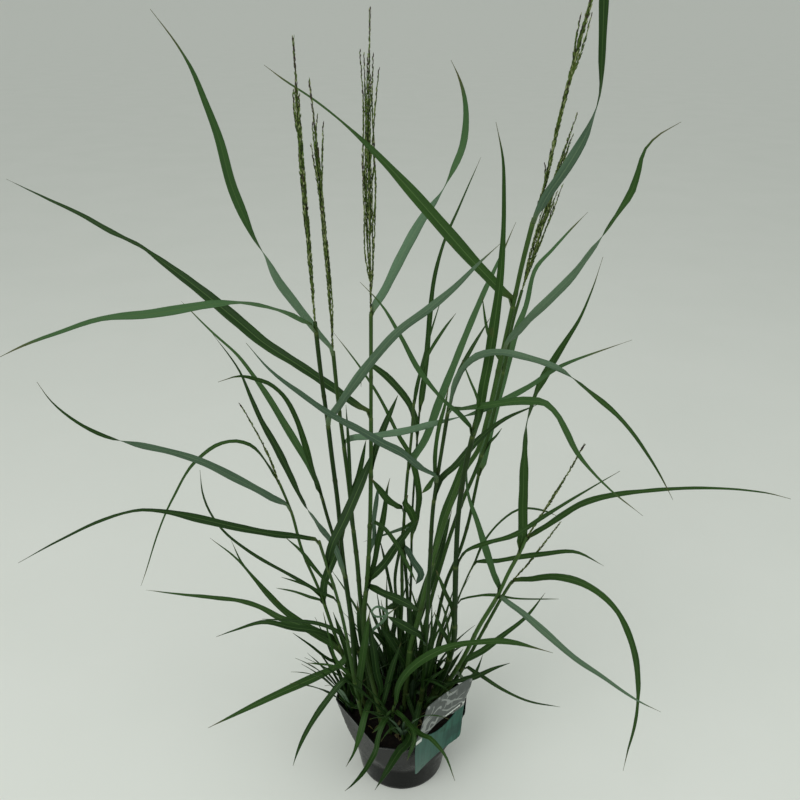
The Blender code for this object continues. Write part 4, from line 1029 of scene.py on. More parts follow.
def blade_widths(leaf, places, seen):
    """The table's width along the blade, or what the picture shows where that is more.

    Towards its tip the blade is no wider than the widest that it shows from there on.
    """
    count = len(places) - 1
    full = leaf.width / 1000
    shown = [abs(wide) * depth_of(place) / PICTURE_SCALE for wide, place in zip(seen, places)]
    widths = []
    for i in range(count + 1):
        share = i / count
        loose = full * blade_share(share)
        slim = min(loose, max(shown[i:]))
        loose += (slim - loose) * smooth_step(share, 0.45, 0.65)
        widths.append(max(BLADE_TIP, loose, min(1.05 * shown[i] * (1 - share ** 12), WIDEST * full)))
    return widths


def grow_leaf(piece, leaf, tone, material=0, sunk=False, mark=0.0, wave=WAVE_HEIGHT, spacing=BLADE_ROW):
    rows, axis, radius = leaf_route(leaf, sunk)
    length = length_of([Vector(row[:3]) for row in rows])
    rows = along(rows, max(10, round(length / spacing)))
    places = [Vector(row[:3]) for row in rows]
    seen = [row[3] for row in rows]
    widths = blade_widths(leaf, places, seen)
    sides = blade_sides(places, widths, seen, heading(leaf.heading).cross(UP))
    piece.add(add_blade, places, widths, sides, tone, (axis, radius + GAP), material, mark, wave)
    return length


# %% The large blades
TONES = {"leaf_01": 0.88, "leaf_02": 0.75, "leaf_03": 0.98, "leaf_04": 0.20, "leaf_05": 1.0,
         "leaf_06": 0.25, "leaf_07": 0.85, "leaf_08": 0.97, "leaf_09": 0.60, "leaf_10": 1.0,
         "leaf_11": 0.60, "leaf_12": 0.90, "leaf_13": 0.95, "leaf_14": 0.65, "leaf_15": 0.87,
         "leaf_16": 0.65, "leaf_17": 0.60, "leaf_18": 0.70, "leaf_20": 0.70, "leaf_22": 0.45,
         "leaf_23": 0.88, "leaf_24": 0.60, "leaf_26": 0.20, "leaf_27": 0.80, "leaf_28": 0.75,
         "leaf_29": 0.20, "leaf_30": 0.75}
chance = random.Random(11)
total = 0
for name, leaf in LEAVES.items():
    blade = Piece(name.replace("leaf", "blade"), "leaf", LEAF_SET)
    total += grow_leaf(blade, leaf, TONES.get(name, chance.random()))
    blade.finish(name)
print("large blades grown:", len(LEAVES), "together", round(total, 1), "m long")

# %% [markdown]
# ## Culms and sheaths
#
# A stem is a tube of rings. Between two collars its radius grows by about a seventh, because
# each sheath is thickest where the next one is still rolled up inside it, and at the collar it
# steps back. A curve's bevel gives every ring one thickness, so the tube is a grid bent round its
# line, like the blades, and closed. The rings stand closer together at the steps.

# %% Tubes
def add_tube(piece, places, radii, material, tone, marks=None, columns=10):
    """A closed round tube, with a mark for each of its rings."""
    count = len(places) - 1
    spots, faces, _ = strip_grid(piece, columns, places, material, 1, 0.5)
    frames = []
    side = RIGHT
    for i in range(count + 1):
        ahead = ahead_at(places, i)
        side = (side - ahead * side.dot(ahead)).normalized()
        frames.append((side, ahead.cross(side)))
    for vert, (around, i) in spots.items():
        turn = 2 * math.pi * around
        side, back = frames[i]
        vert.co = places[i] + (side * math.cos(turn) + back * math.sin(turn)) * radii[i]
        piece.note(vert, share=i / count, tone=tone, mark=marks[i] if marks else 0.0)
    bmesh.ops.remove_doubles(piece.bm, verts=list(spots), dist=0.00001)
    rims = [edge for face in faces if face.is_valid for edge in face.edges if len(edge.link_faces) == 1]
    caps = bmesh.ops.holes_fill(piece.bm, edges=rims, sides=0)
    for face in caps["faces"]:
        face.material_index = material


def read_line(line, reach, metres):
    """The place at a length along a line whose running lengths are reach."""
    return Vector([float(np.interp(metres, reach, [p[k] for p in line])) for k in range(3)])


# %% A culm with its collars
LOWEST_COLLAR = 0.05
COLLAR_SPACING = 0.03
COLLAR_STEP = 0.0006
COLLAR_BAND = 0.0018
NODE_BELOW = 0.085
NODE_BAND = 0.0028
NODE_SWELLING = 0.14
SWELLING = 0.16


def collar_rows(name):
    leaves = [*LEAVES.values(), *SMALL_LEAVES, *FINE_LEAVES]
    return sorted({leaf.row for leaf in leaves if leaf.stem == name}, reverse=True)


def band(distance, width):
    """1 at a place on the stem, and almost nothing two widths away."""
    return math.exp(-(distance / width) ** 2)


def add_culm(piece, name, tone):
    stem, line = STEMS[name], LINES[name]
    reach = running_lengths(line)
    length = reach[-1]
    heights = [-row_of(place) for place in line]
    collars = []
    for row in collar_rows(name):
        at = float(np.interp(-row, heights, reach))
        if at > LOWEST_COLLAR and (not collars or at - collars[-1] > COLLAR_SPACING):
            collars.append(at)
    stops = set(np.linspace(0, length, round(length / STEM_STEP) + 1))
    for at in collars:
        stops |= {at - COLLAR_STEP, at + COLLAR_STEP, at - 4 * COLLAR_STEP}
        stops |= {max(0, at - NODE_BELOW + shift) for shift in (-0.003, 0.0, 0.003)}
    places, radii, marks = [], [], []
    for stop in sorted(stop for stop in stops if 0 <= stop <= length):
        low = max([at for at in collars if at <= stop], default=0.0)
        above = [at for at in collars if at > stop]
        radius = culm_radius(stem, stop / length)
        mark = 0.0
        if above:
            radius *= 1 + SWELLING * (stop - low) / (above[0] - low)
        for at in collars:
            swell = band(stop - at + NODE_BELOW, NODE_BAND)
            mark += band(stop - at + 0.001, COLLAR_BAND)
            mark -= 0.8 * swell
            radius *= 1 + NODE_SWELLING * swell
        places.append(read_line(line, reach, stop))
        radii.append(radius)
        marks.append(max(-1.0, min(1.0, mark)))
    add_tube(piece, places, radii, 0, tone, marks)
    return len(collars)


# %% [markdown]
# ## Panicles
#
# The panicles are still narrow: a main axis with a few branches pressed close to it, all set with
# small pointed spikelets that lean upward. Instances would be lighter, but each spikelet here is
# real mesh, which every other program can read. Towards the tips they are smaller and purple. On
# a branch they also thin out there, and on the axis they crowd. Side branches whose tips can be
# told apart are drawn one by one; the rest are spread by a random generator with a fixed seed.

# %% Spikelets and strands
SPIKELET_LENGTH = 0.0052
SPIKELET_WIDTH = 0.0012
SPIKELET_POINT = 0.55
TWIG_STEP = 0.004
TWIG_TAPER = 0.8
THINNEST_TWIG = 0.00018
TIP_LOSS = 0.25
TIP_COLOUR = 0.6


def add_spikelet(piece, foot, direction, length, width, tone, mark, material):
    """A small pointed husk of twenty faces."""
    ball = bmesh.ops.create_uvsphere(piece.bm, u_segments=4, v_segments=5, radius=0.5)
    turn = direction.to_track_quat("Z", "Y").to_matrix()
    for vert in ball["verts"]:
        high = vert.co.z + 0.5
        slim = 1 - SPIKELET_POINT * high
        shape = Vector((vert.co.x * width * slim * 1.5, vert.co.y * width * slim * 1.2, high * length))
        vert.co = foot + turn @ shape
        piece.note(vert, tone=tone, mark=mark, share=high)
    for face in {face for vert in ball["verts"] for face in vert.link_faces}:
        face.material_index = material


def add_strand(piece, route, radius, spacing, chance, materials, ripe, thin_from, sparse=0.9, plump=0.0):
    """A twig set with spikelets, and their number. Past thin_from they are sparse or plump, and dark."""
    length = length_of(route)
    count = max(4, round(length / TWIG_STEP))
    places = [Vector(row) for row in along(route, count)]
    radii = [max(THINNEST_TWIG, radius * (1 - TWIG_TAPER * i / count)) for i in range(count + 1)]
    marks = [smooth_step(i / count, thin_from - 0.1, 1.0) for i in range(count + 1)]
    husk, twig = materials
    add_tube(piece, places, radii, twig, chance.random(), marks, columns=4)
    gone, number = spacing, 0
    while gone < length:
        share = gone / length
        i = min(count - 1, int(share * count))
        ahead = (places[i + 1] - places[i]).normalized()
        side = ahead.orthogonal().normalized()
        side.rotate(Matrix.Rotation(chance.uniform(0, 2 * math.pi), 3, ahead))
        foot = places[i].lerp(places[i + 1], share * count - i) + side * (0.7 * radius)
        direction = (ahead + side * chance.uniform(0.05, 0.25)).normalized()
        thin = smooth_step(share, thin_from - 0.05, 0.96)
        size = SPIKELET_LENGTH * chance.uniform(0.75, 1.1) * (1 - TIP_LOSS * thin)
        width = SPIKELET_WIDTH * (1 + plump * thin)
        add_spikelet(piece, foot, direction, size, width, chance.random(), ripe + TIP_COLOUR * thin, husk)
        gone += spacing * chance.uniform(0.7, 1.3) * (1 + sparse * thin)
        number += 1
    return number


# %% Side branches, drawn one by one
BRANCHES = {
    "panicle_01": [[(296, 125), (293, 92)], [(300, 130), (299, 95)]],
    "panicle_02": [[(322, 175), (323, 123)], [(316, 150), (317, 115)], [(318, 185), (311, 145)]],
    "panicle_03": [
        [(365, 190), (363, 100), (360, 52)], [(367, 150), (365, 92), (364, 54)],
        [(373, 175), (372, 100), (373, 56)], [(371, 158), (375, 108), (379, 70)],
        [(374, 215), (374, 140)], [(366, 262), (364, 205), (362, 155)],
        [(373, 262), (375, 215), (376, 178)], [(368, 250), (365, 180), (366, 120)]],
    "panicle_04": [[(575, 46), (581, 14)], [(577, 64), (592, 15)], [(545, 182), (545, 164)],
                   [(590, 10), (597, -30)]],
    "panicle_05": [
        [(528, 262), (535, 236), (543, 208)], [(533, 262), (544, 234), (554, 204)],
        [(530, 256), (538, 230), (549, 200)], [(541, 240), (552, 214), (562, 186)],
        [(548, 215), (557, 192)], [(557, 180), (568, 150)], [(565, 155), (573, 135)]],
}
BRANCH_DROP = 22
FILLERS = 8
FILLER_SPAN = 0.52
FILLER_TURN = 2.4
FILLER_POINTS = 6
AXIS_STEPS = 60
AXIS_RADIUS = 0.0008
AXIS_SPACING = 0.0010
TWIG_RADIUS = 0.0005
TWIG_SPACING = 0.0011


def grow_panicle(piece, panicle, chance, materials, branches=(), fillers=FILLERS, plump=0.0):
    """The axis, the branches pressed to it and the listed ones."""
    root, normal = stem_plane(STEMS[panicle.stem])
    route = [LINES[panicle.stem][-1]] + [meet(u, v, root, normal) for u, v in panicle.points]
    fine = [Vector(row) for row in along(route, AXIS_STEPS)]
    ripe = panicle.ripe
    number = piece.add(add_strand, fine[::3], AXIS_RADIUS, AXIS_SPACING, chance, materials,
                       0.05 + ripe, 0.80, sparse=-0.3, plump=plump)
    twig = (TWIG_RADIUS, TWIG_SPACING, chance, materials)
    for filler in range(fillers):
        low = 0.02 + filler / fillers * FILLER_SPAN + chance.uniform(0.0, 0.05)
        high = min(0.86, low + chance.uniform(0.34, 0.46))
        turn = FILLER_TURN * filler + chance.uniform(-0.4, 0.4)
        spread = panicle.radius * panicle.looseness * chance.uniform(0.55, 1.0)
        line = []
        for point in range(FILLER_POINTS + 1):
            share = low + (high - low) * point / FILLER_POINTS
            i = min(AXIS_STEPS - 1, int(share * AXIS_STEPS))
            place = fine[i].lerp(fine[i + 1], share * AXIS_STEPS - i)
            out = spread * smooth_step(share, low, low + 0.10)
            line.append(place + Vector((math.cos(turn), math.sin(turn), 0)) * out)
        number += piece.add(add_strand, line, *twig, ripe, 0.85)
    for branch in branches:
        nearer = root + Vector((0, chance.uniform(-0.5, 0.5) * panicle.radius, 0))
        foot_row = branch[0][1] + BRANCH_DROP
        line = [min(fine, key=lambda place: abs(row_of(place) - foot_row))]
        line += [meet(u, v, nearer, normal) for u, v in branch]
        number += piece.add(add_strand, line, *twig, 0.05 + ripe, 0.65, sparse=0.5)
    return number, length_of(route)


# %% The five panicles
chance = random.Random(3)
for name, panicle in PANICLES.items():
    piece = Piece(name.replace("panicle", "plume"), "panicle", PANICLE_SET)
    count, length = grow_panicle(piece, panicle, chance, (0, 1), BRANCHES[name], plump=-0.25)
    piece.finish(name)
    print(name, "is", round(length, 3), "m long, with", count, "spikelets")

# %% [markdown]
# ## The stems as they stand
#
# Each stem's piece is its culm, the young spike at its top if it has one, and the small blades
# that it carries.

# %% Stems with their small blades
CULM_TONES = {"stem_01": 0.10, "stem_02": 0.40, "stem_03": 0.70, "stem_04": 0.80, "stem_06": 0.95,
              "stem_11": 0.15, "stem_13": 0.05}
SMALL_TONES = {("stem_03", 590): 0.20, ("stem_15", 440): 0.35, ("stem_11", 644): 0.15,
               ("stem_04", 650): 0.25, ("stem_02", 694): 0.88, ("stem_02", 700): 0.85,
               ("stem_10", 704): 0.78, ("stem_06", 592): 0.93}
CROWN_SLIMNESS = 0.82
CURL_ROW = 0.002
chance = random.Random(29)
for name in STEMS:
    piece = Piece(name.replace("stem", "culm"), "stem", STEM_SET)
    collars = add_culm(piece, name, CULM_TONES.get(name, chance.random()))
    if name in SPIKES:
        grow_panicle(piece, SPIKES[name], chance, (3, 4), fillers=2)
    small = [leaf for leaf in SMALL_LEAVES + FINE_LEAVES if leaf.stem == name]
    for leaf in small:
        grow_leaf(piece, leaf, SMALL_TONES.get((leaf.stem, leaf.row), 0.85 * chance.random()), 1, sunk=True)
    for leaf in CROWN_LEAVES:
        if leaf.stem == name:
            points = [(u, v, CROWN_SLIMNESS * seen) for u, v, seen in leaf.points]
            leaf = leaf._replace(width=CROWN_SLIMNESS * leaf.width, points=points)
            tone = chance.uniform(0.0, 0.9)
            # mark sets how much painted shade a crown blade gets; lighter blades get less.
            grow_leaf(piece, leaf, tone, 1, sunk=True, mark=0.9 - 0.5 * tone)
    if CURLED_LEAF.stem == name:
        grow_leaf(piece, CURLED_LEAF, 1.0, 1, sunk=True, wave=0.0, spacing=CURL_ROW)
    piece.finish(name)
    print(name, "has", collars, "collars and", len(small), "small blades")

# %% [markdown]
# ## Tufts
#
# Round the crown stand tufts of short shoots. Their blades are too many to draw by hand, so each
# is an arch worked out from a few numbers. The first blades of each tuft repeat the solid's own,
# from the same random numbers. More and finer ones fill the gaps between them.

# %% Tufts of short blades
Tuft = namedtuple("Tuft", "place facing blades seed")

TUFTS = {
    "tuft_left": Tuft((-0.080, -0.010), 185, 8, 9),
    "tuft_back": Tuft((-0.024, 0.060), 122, 6, 5),
    "tuft_right": Tuft((0.048, 0.056), 55, 6, 4),
    "tuft_front": Tuft((0.002, -0.062), 240, 7, 8),
}
TUFT_FAN = 120
TUFT_MOUND_HEIGHT = 0.010
TUFT_FOOT = 0.003
TUFT_BLADE_LENGTH = 0.165
TUFT_BLADE_WIDTH = 0.007
TUFT_DROOP = 0.25
TUFT_STEPS = 16
TUFT_EXTRA = 3
TUFT_STUBS = 5
STUB_RADII = [0.0026, 0.0022, 0.0012]


def arching(start, direction, length, steep, droop, steps):
    """Places along a blade that rises at an angle and bends over."""
    places = []
    for i in range(steps + 1):
        share = i / steps
        out = math.cos(steep) * share + droop * share ** 2
        rise = math.sin(steep) * share - 0.8 * droop * share ** 2
        places.append(start + (direction * out + UP * rise) * length)
    return places


def tuft_blade(piece, base, direction, length, steep, width, tone):
    foot = base + direction * TUFT_FOOT
    start = foot + UP * (0.5 * TUFT_MOUND_HEIGHT)
    places = arching(start, direction, length, steep, TUFT_DROOP, TUFT_STEPS)
    sides = [direction.cross(UP)] * len(places)
    axis = foot - direction * TUFT_FOOT
    add_blade(piece, places, plain_widths(width, TUFT_STEPS), sides, tone, (axis, TUFT_FOOT), 1)


def grow_tuft(name, tuft):
    piece = Piece(name.replace("tuft", "shoots"), "leaf", STEM_SET)
    chance = random.Random(tuft.seed)
    base = Vector((*tuft.place, SOIL_TOP + GAP))
    for number in range(tuft.blades):
        share = (number + chance.uniform(-0.2, 0.2)) / (tuft.blades - 1) - 0.5
        direction = heading(tuft.facing + TUFT_FAN * share)
        length = TUFT_BLADE_LENGTH * chance.uniform(0.7, 1.3)
        steep = math.radians(chance.uniform(64, 82))
        tuft_blade(piece, base, direction, length, steep, TUFT_BLADE_WIDTH, number / tuft.blades)
    for _ in range(TUFT_EXTRA):
        direction = heading(tuft.facing + chance.uniform(-100, 100))
        foot = base + direction * chance.uniform(0.0, 0.006)
        length = TUFT_BLADE_LENGTH * chance.uniform(0.35, 0.85)
        steep = math.radians(chance.uniform(70, 88))
        tuft_blade(piece, foot, direction, length, steep, chance.uniform(0.003, 0.006), chance.random())
    for _ in range(TUFT_STUBS):
        foot = base + heading(chance.uniform(0, 360)) * 0.005 - UP * 0.006
        top = foot + UP * chance.uniform(0.03, 0.05) + heading(chance.uniform(0, 360)) * 0.004
        add_tube(piece, [foot, foot.lerp(top, 0.5), top], STUB_RADII, 0, chance.random())
    piece.finish(name)


for name, tuft in TUFTS.items():
    grow_tuft(name, tuft)
    print(name, "has", tuft.blades + TUFT_EXTRA, "blades")

# %% [markdown]
# ## Young shoots
#
# Between the culms the crown is crowded with young shoots: a few leaf sheaths rolled round each
# other, with two or three blades that leave them by turns to one side and the other. They are
# all one piece. A random generator with a fixed seed places them, and a blade may turn over on
# its way, so that some show their edge.

# %% Shoots
SHOOTS = 11
CROWN_CENTRE = Vector((0.004, 0.014, SOIL_TOP))
CROWN_REACH = (0.052, 0.032)
SHOOT_HEIGHTS = (0.03, 0.09)
SHOOT_LEANS = (0.02, 0.30)
SHOOT_GIRTHS = (0.0013, 0.0021)
SHOOT_STEPS = 6
SHOOT_BOW = 0.002
SHOOT_BLADE_LENGTHS = (0.08, 0.14)
SHOOT_BLADE_WIDTHS = (0.006, 0.010)
SHOOT_BLADE_STEPS = 14


def grow_shoot(piece, foot, facing, chance):
    """A rolled sheath and the blades that leave it; says how many."""
    tone = chance.random()
    height = chance.uniform(*SHOOT_HEIGHTS)
    lean = chance.uniform(*SHOOT_LEANS)
    girth = chance.uniform(*SHOOT_GIRTHS)
    outward = heading(facing)
    top = foot + (UP + outward * lean).normalized() * height
    places, radii = [], []
    for i in range(SHOOT_STEPS + 1):
        bow = SHOOT_BOW * math.sin(math.pi * i / SHOOT_STEPS)
        places.append(foot.lerp(top, i / SHOOT_STEPS) + outward * bow)
        radii.append(girth * (1 - 0.4 * i / SHOOT_STEPS))
    piece.add(add_tube, places, radii, 0, tone, columns=8)
    blades = chance.choice((2, 2, 3))
    plane = facing + chance.uniform(-40, 40)
    for number in range(blades):
        share = 1 - 0.25 * (blades - 1 - number)
        start = foot.lerp(top, share)
        direction = heading(plane + 180 * (number % 2) + chance.uniform(-25, 25))
        length = chance.uniform(*SHOOT_BLADE_LENGTHS) * (0.75 + 0.25 * share)
        steep = math.radians(chance.uniform(62, 86))
        droop = chance.uniform(0.12, 0.50)
        line = arching(start + direction * girth, direction, length, steep, droop, SHOOT_BLADE_STEPS)
        widths = plain_widths(chance.uniform(*SHOOT_BLADE_WIDTHS), SHOOT_BLADE_STEPS)
        twist = chance.uniform(-1.6, 1.6)
        side = direction.cross(UP)
        sides = [Matrix.Rotation(twist * (i / SHOOT_BLADE_STEPS) ** 1.5, 3, ahead_at(line, i)) @ side
                 for i in range(SHOOT_BLADE_STEPS + 1)]
        # mark 1.0 gives these blades the full painted shade of the crown.
        piece.add(add_blade, line, widths, sides, chance.random(), (start, girth), 1, mark=1.0)
    return blades


chance = random.Random(41)
piece = Piece("young_shoots", "leaf", STEM_SET)
blades = 0
for _ in range(SHOOTS):
    turn, reach = chance.uniform(0, 360), math.sqrt(chance.random())
    spot = heading(turn)
    foot = CROWN_CENTRE + Vector((spot.x * CROWN_REACH[0], spot.y * CROWN_REACH[1], 0)) * reach
    blades += grow_shoot(piece, foot, turn, chance)
piece.finish()
print("young shoots:", SHOOTS, "with", blades, "blades")

# %% [markdown]
# ## The pot
#
# A nursery pot is blown from thin plastic. It is a round cone in its lower part, and above that
# its corners flare out to a square rim with cut corners. Bevelled boxes would miss that change of
# form. So one profile is spun round the axis, and every ring is then stretched from the cone to
# the wall's own outline at that height: the nearest of a flaring cone, the four flats and the
# four cut corners, with the edges between them rounded.

# %% Pot shape
POT_HEIGHT = 0.130
POT_BASE_RADIUS = 0.066
POT_FLATS = 0.0865
POT_CORNER_CUT = 0.031
POT_FLARE_START = 0.050
POT_FLARE_RADIUS = 0.112
POT_TURN = math.radians(37)
POT_WALL = 0.0014
POT_FLOOR = 0.0020
POT_SEGMENTS = 192
EDGE_ROUNDING = 0.0012
EDGE_SHARPNESS = 2.5


def cone_radius(height):
    """The round cone that the four flats of the rim lie against."""
    return POT_BASE_RADIUS + (POT_FLATS - POT_BASE_RADIUS) * height / POT_HEIGHT


def soft_least(values):
    """The least of some lengths, rounded off where two of them meet."""
    least = min(values)
    total = sum(math.exp(-(value - least) / EDGE_ROUNDING * EDGE_SHARPNESS) for value in values)
    return least - EDGE_ROUNDING / EDGE_SHARPNESS * math.log(total)


def wall_radius(turn, height):
    """How far the pot's wall reaches in a direction: the least of a cone, its flats and corners."""
    flats = cone_radius(height)
    flare = max(0, height - POT_FLARE_START) / (POT_HEIGHT - POT_FLARE_START)
    rim_corner = (2 * POT_FLATS - POT_CORNER_CUT) / math.sqrt(2)
    corner = flats + (rim_corner - POT_FLATS) * flare
    cone = flats + (POT_FLARE_RADIUS - POT_FLATS) * flare
    reach = [cone + 0.27 * EDGE_ROUNDING]
    for side in range(8):
        facing = math.cos(turn - POT_TURN - side * math.pi / 4)
        if facing > 0.5:
            reach.append((corner if side % 2 else flats) / facing)
    return min(cone, soft_least(reach))


def turned_skin(profile):
    """A closed skin: a profile of (radius, height) is spun, and its rings pressed square."""
    bm = bmesh.new()
    verts = [bm.verts.new((radius, 0, height)) for radius, height in profile]
    edges = [bm.edges.new(pair) for pair in zip(verts, verts[1:])]
    bmesh.ops.spin(bm, geom=verts + edges, cent=(0, 0, 0), axis=(0, 0, 1), dvec=(0, 0, 0),
                   angle=2 * math.pi, steps=POT_SEGMENTS, use_merge=True)
    bmesh.ops.remove_doubles(bm, verts=bm.verts, dist=0.00001)
    for vert in bm.verts:
        stretch = wall_radius(math.atan2(vert.co.y, vert.co.x), vert.co.z) / cone_radius(vert.co.z)
        vert.co.x *= stretch
        vert.co.y *= stretch
    return bm


print("the flats stand", 2 * POT_FLATS, "m apart")

# %% [markdown]
# ## The pot's finish
#
# Charcoal polypropylene with a faint satin gloss, dulled by dust and by dried splashes of potting
# mix. Layers of noise at several scales, each cut off by a step, give the cloudy dust, the
# splashes and the long scuffs that run round the wall.

# %% Pot finish and pot
POT_LIP = 0.0009
POT_ROUNDING = 0.0008
POT_WALL_STEPS = 26
DRAIN_CIRCLE = 0.042
SHARP_FROM = math.radians(50)


def pot_finish():
    finish = Finish("pot_plastic", 0.42, Specular_IOR_Level=0.09)
    place = finish.place()
    grain = finish.noise(place, 420.0, detail=2.0)
    cloud = finish.noise(place, 26.0, detail=5.0, roughness=0.6)
    scuff = finish.noise(finish.scaled(place, 40.0, 40.0, 700.0), 1.0, detail=2.0)
    dust = (cloud * 1.3 + grain * 0.3 - 0.55).clamp()
    splash = finish.noise(place, 160.0, detail=4.0).step(0.62, 0.74) * cloud.step(0.45, 0.6)
    scratches = scuff.step(0.68, 0.76) * 0.18
    colour = finish.coats(finish.mix(dust * 0.6, (5, 7, 6), (17, 21, 18)),
                          (splash * 0.20, (50, 48, 40)), (scratches * 0.6, (96, 98, 98)))
    rough = (0.18 + dust * 0.26 + splash * 0.2).clamp()
    return finish.wear(Base_Color=colour, Roughness=rough,
                       Normal=finish.bump(grain * 0.5 + cloud * 0.6 + scratches, 0.0002, 0.5))


def make_pot():
    outer = []
    for step in range(POT_WALL_STEPS + 1):
        height = POT_ROUNDING + (POT_HEIGHT - 2 * POT_LIP - POT_ROUNDING) * step / POT_WALL_STEPS
        outer.append((cone_radius(height), height))
    inner = [(radius - POT_WALL, height) for radius, height in reversed(outer) if height > POT_FLOOR + 0.004]
    top = cone_radius(POT_HEIGHT)
    lip = [(top + 0.25 * POT_LIP, POT_HEIGHT - 1.6 * POT_LIP),
           (top + 0.3 * POT_LIP, POT_HEIGHT - 0.6 * POT_LIP), (top - 0.3 * POT_LIP, POT_HEIGHT),
           (top - POT_WALL, POT_HEIGHT - 0.2 * POT_LIP)]
    under = [(0, 0), (DRAIN_CIRCLE, 0), (cone_radius(0) - POT_ROUNDING, 0)]
    inside = [(cone_radius(POT_FLOOR) - POT_WALL - 0.003, POT_FLOOR), (0, POT_FLOOR)]
    bm = turned_skin(under + outer + lip + inner + inside)
    bmesh.ops.recalc_face_normals(bm, faces=bm.faces)
    return bm


nursery_pot = finish_piece("nursery_pot", make_pot(), "pot_plastic", [pot_finish()], "pot")
nursery_pot.data.set_sharp_from_angle(angle=SHARP_FROM)
print("pot:", len(nursery_pot.data.polygons), "faces")

# %% Drain holes
DRAIN_COUNT = 5
DRAIN_RADIUS = 0.006
DRILL_LENGTH = 0.012


def drill_drains(pot):
    """Cuts the holes with a Boolean, and keeps only the mesh that it makes."""
    bm = bmesh.new()
    for number in range(DRAIN_COUNT):
        turn = 2 * math.pi * number / DRAIN_COUNT
        spot = Matrix.Translation((DRAIN_CIRCLE * math.cos(turn), DRAIN_CIRCLE * math.sin(turn), 0))
        bmesh.ops.create_cone(bm, cap_ends=True, segments=24, radius1=DRAIN_RADIUS,
                              radius2=DRAIN_RADIUS, depth=DRILL_LENGTH, matrix=spot)
    drills = mesh_object("drills", bm, smooth=False)
    cut = pot.modifiers.new("drains", "BOOLEAN")
    cut.operation = "DIFFERENCE"
    cut.object = drills
    depsgraph = bpy.context.evaluated_depsgraph_get()
    drilled = bpy.data.meshes.new_from_object(pot.evaluated_get(depsgraph))
    pot.modifiers.remove(cut)
    pot.data = drilled
    bpy.data.objects.remove(drills)


drill_drains(nursery_pot)
print("pot with drains:", len(nursery_pot.data.polygons), "faces")

# %% [markdown]
# ## The soil
#
# The potting mix is a disc of rings pushed up and down by noise, that fits the pot's wall. Loose
# crumbs lie on it, with bits of straw, yellowed old sheath and twig. Bump alone would look smooth
# at the disc's edge, so the crumbs are real. The dead bits that show are placed one by one, and
# the rest are scattered.

# %% Soil and litter finishes
def soil_finish():
    finish = Finish("potting_soil", 0.95, Specular_IOR_Level=0.1)
    place = finish.place()
    coarse = finish.noise(place, 120.0, detail=6.0, roughness=0.7)
    fine = finish.noise(place, 700.0)
    colour = finish.mix((coarse * 1.6 - 0.3).clamp(), (10, 9, 8), (34, 29, 25))
    colour = finish.mix(fine.step(0.66, 0.76) * 0.35, colour, (70, 58, 46))
    return finish.wear(Base_Color=colour, Roughness=(0.8 + fine * 0.2).clamp(),
                       Normal=finish.bump(coarse + fine * 0.4, 0.0015, 1.0))


def litter_finish():
    finish = Finish("dead_litter", 0.7)
    _, tone, _ = finish.layers()
    streaks = finish.noise(finish.scaled(finish.place(), 1.0, 1.0, 0.5), 260.0, detail=4.0)
    colour = finish.mix(tone, (98, 92, 38), (58, 44, 32))
    colour = finish.mix((streaks * 1.5 - 0.45).clamp(), colour, (70, 60, 36))
    return finish.wear(Base_Color=colour, Normal=finish.bump(streaks, 0.0003, 0.8))


potting_soil = soil_finish()
dead_litter = litter_finish()
print("ground finishes:", potting_soil.name, dead_litter.name)

# %% Soil and crumbs
SOIL_RINGS = 44
SOIL_ROUGH = 0.0035
SOIL_SINK = 0.0015
CRUMBS = 520
CRUMB_SIZES = (0.0009, 0.0013, 0.0018, 0.0026)
CRUMB_MARGIN = 0.004


def soil_height(x, y):
    coarse = noise.noise(Vector((x, y, 0.3)) * 45)
    fine = noise.noise(Vector((x, y, 1.7)) * 160)
    return SOIL_TOP - SOIL_SINK + SOIL_ROUGH * (0.55 * coarse + 0.35 * fine)


def make_soil():
    low = POT_FLOOR + 2 * GAP
    wall = POT_WALL + 2 * GAP
    edge = cone_radius(SOIL_TOP) - wall
    profile = [(edge * ring / SOIL_RINGS, SOIL_TOP) for ring in range(SOIL_RINGS + 1)]
    profile += [(cone_radius(height) - wall, height) for height in (0.095, 0.08, 0.065, POT_FLARE_START)]
    profile += [(cone_radius(low) - wall - 0.002, low), (0, low)]
    bm = turned_skin(profile)
    for vert in bm.verts:
        if vert.co.z > SOIL_TOP - 0.001:
            vert.co.z = soil_height(vert.co.x, vert.co.y)
    bmesh.ops.recalc_face_normals(bm, faces=bm.faces)
    return bm


def inside_pot(x, y, margin):
    return math.hypot(x, y) < wall_radius(math.atan2(y, x), SOIL_TOP) - POT_WALL - margin


def scatter(chance, margin):
    while True:
        x, y = chance.uniform(-0.1, 0.1), chance.uniform(-0.1, 0.1)
        if inside_pot(x, y, margin):
            return Vector((x, y, soil_height(x, y)))


def add_crumb(bm, place, size, chance):
    ball = bmesh.ops.create_icosphere(bm, subdivisions=1, radius=size)
    stretch = Vector((chance.uniform(0.7, 1.4), chance.uniform(0.7, 1.4), chance.uniform(0.5, 0.9)))
    for vert in ball["verts"]:
        rough = chance.uniform(0.75, 1.2)
        vert.co = place + Vector([vert.co[k] * stretch[k] * rough for k in range(3)])


chance = random.Random(17)
soil_bm = make_soil()
for _ in range(CRUMBS):
    size = chance.choice(CRUMB_SIZES)
    add_crumb(soil_bm, scatter(chance, CRUMB_MARGIN), size, chance)
soil_bed = finish_piece("soil_bed", soil_bm, "potting_soil", [potting_soil], "soil")
print("soil:", len(soil_bed.data.polygons), "faces")

# %% Dead bits on the soil
LITTER = 30
LITTER_PLACES = [(355, 690, 60), (398, 724, 70), (402, 731, 150), (396, 734, 110), (403, 738, 40),
                 (400, 680, 40), (412, 742, 30)]
LITTER_STEPS = 8
LITTER_THINNEST = 0.0004


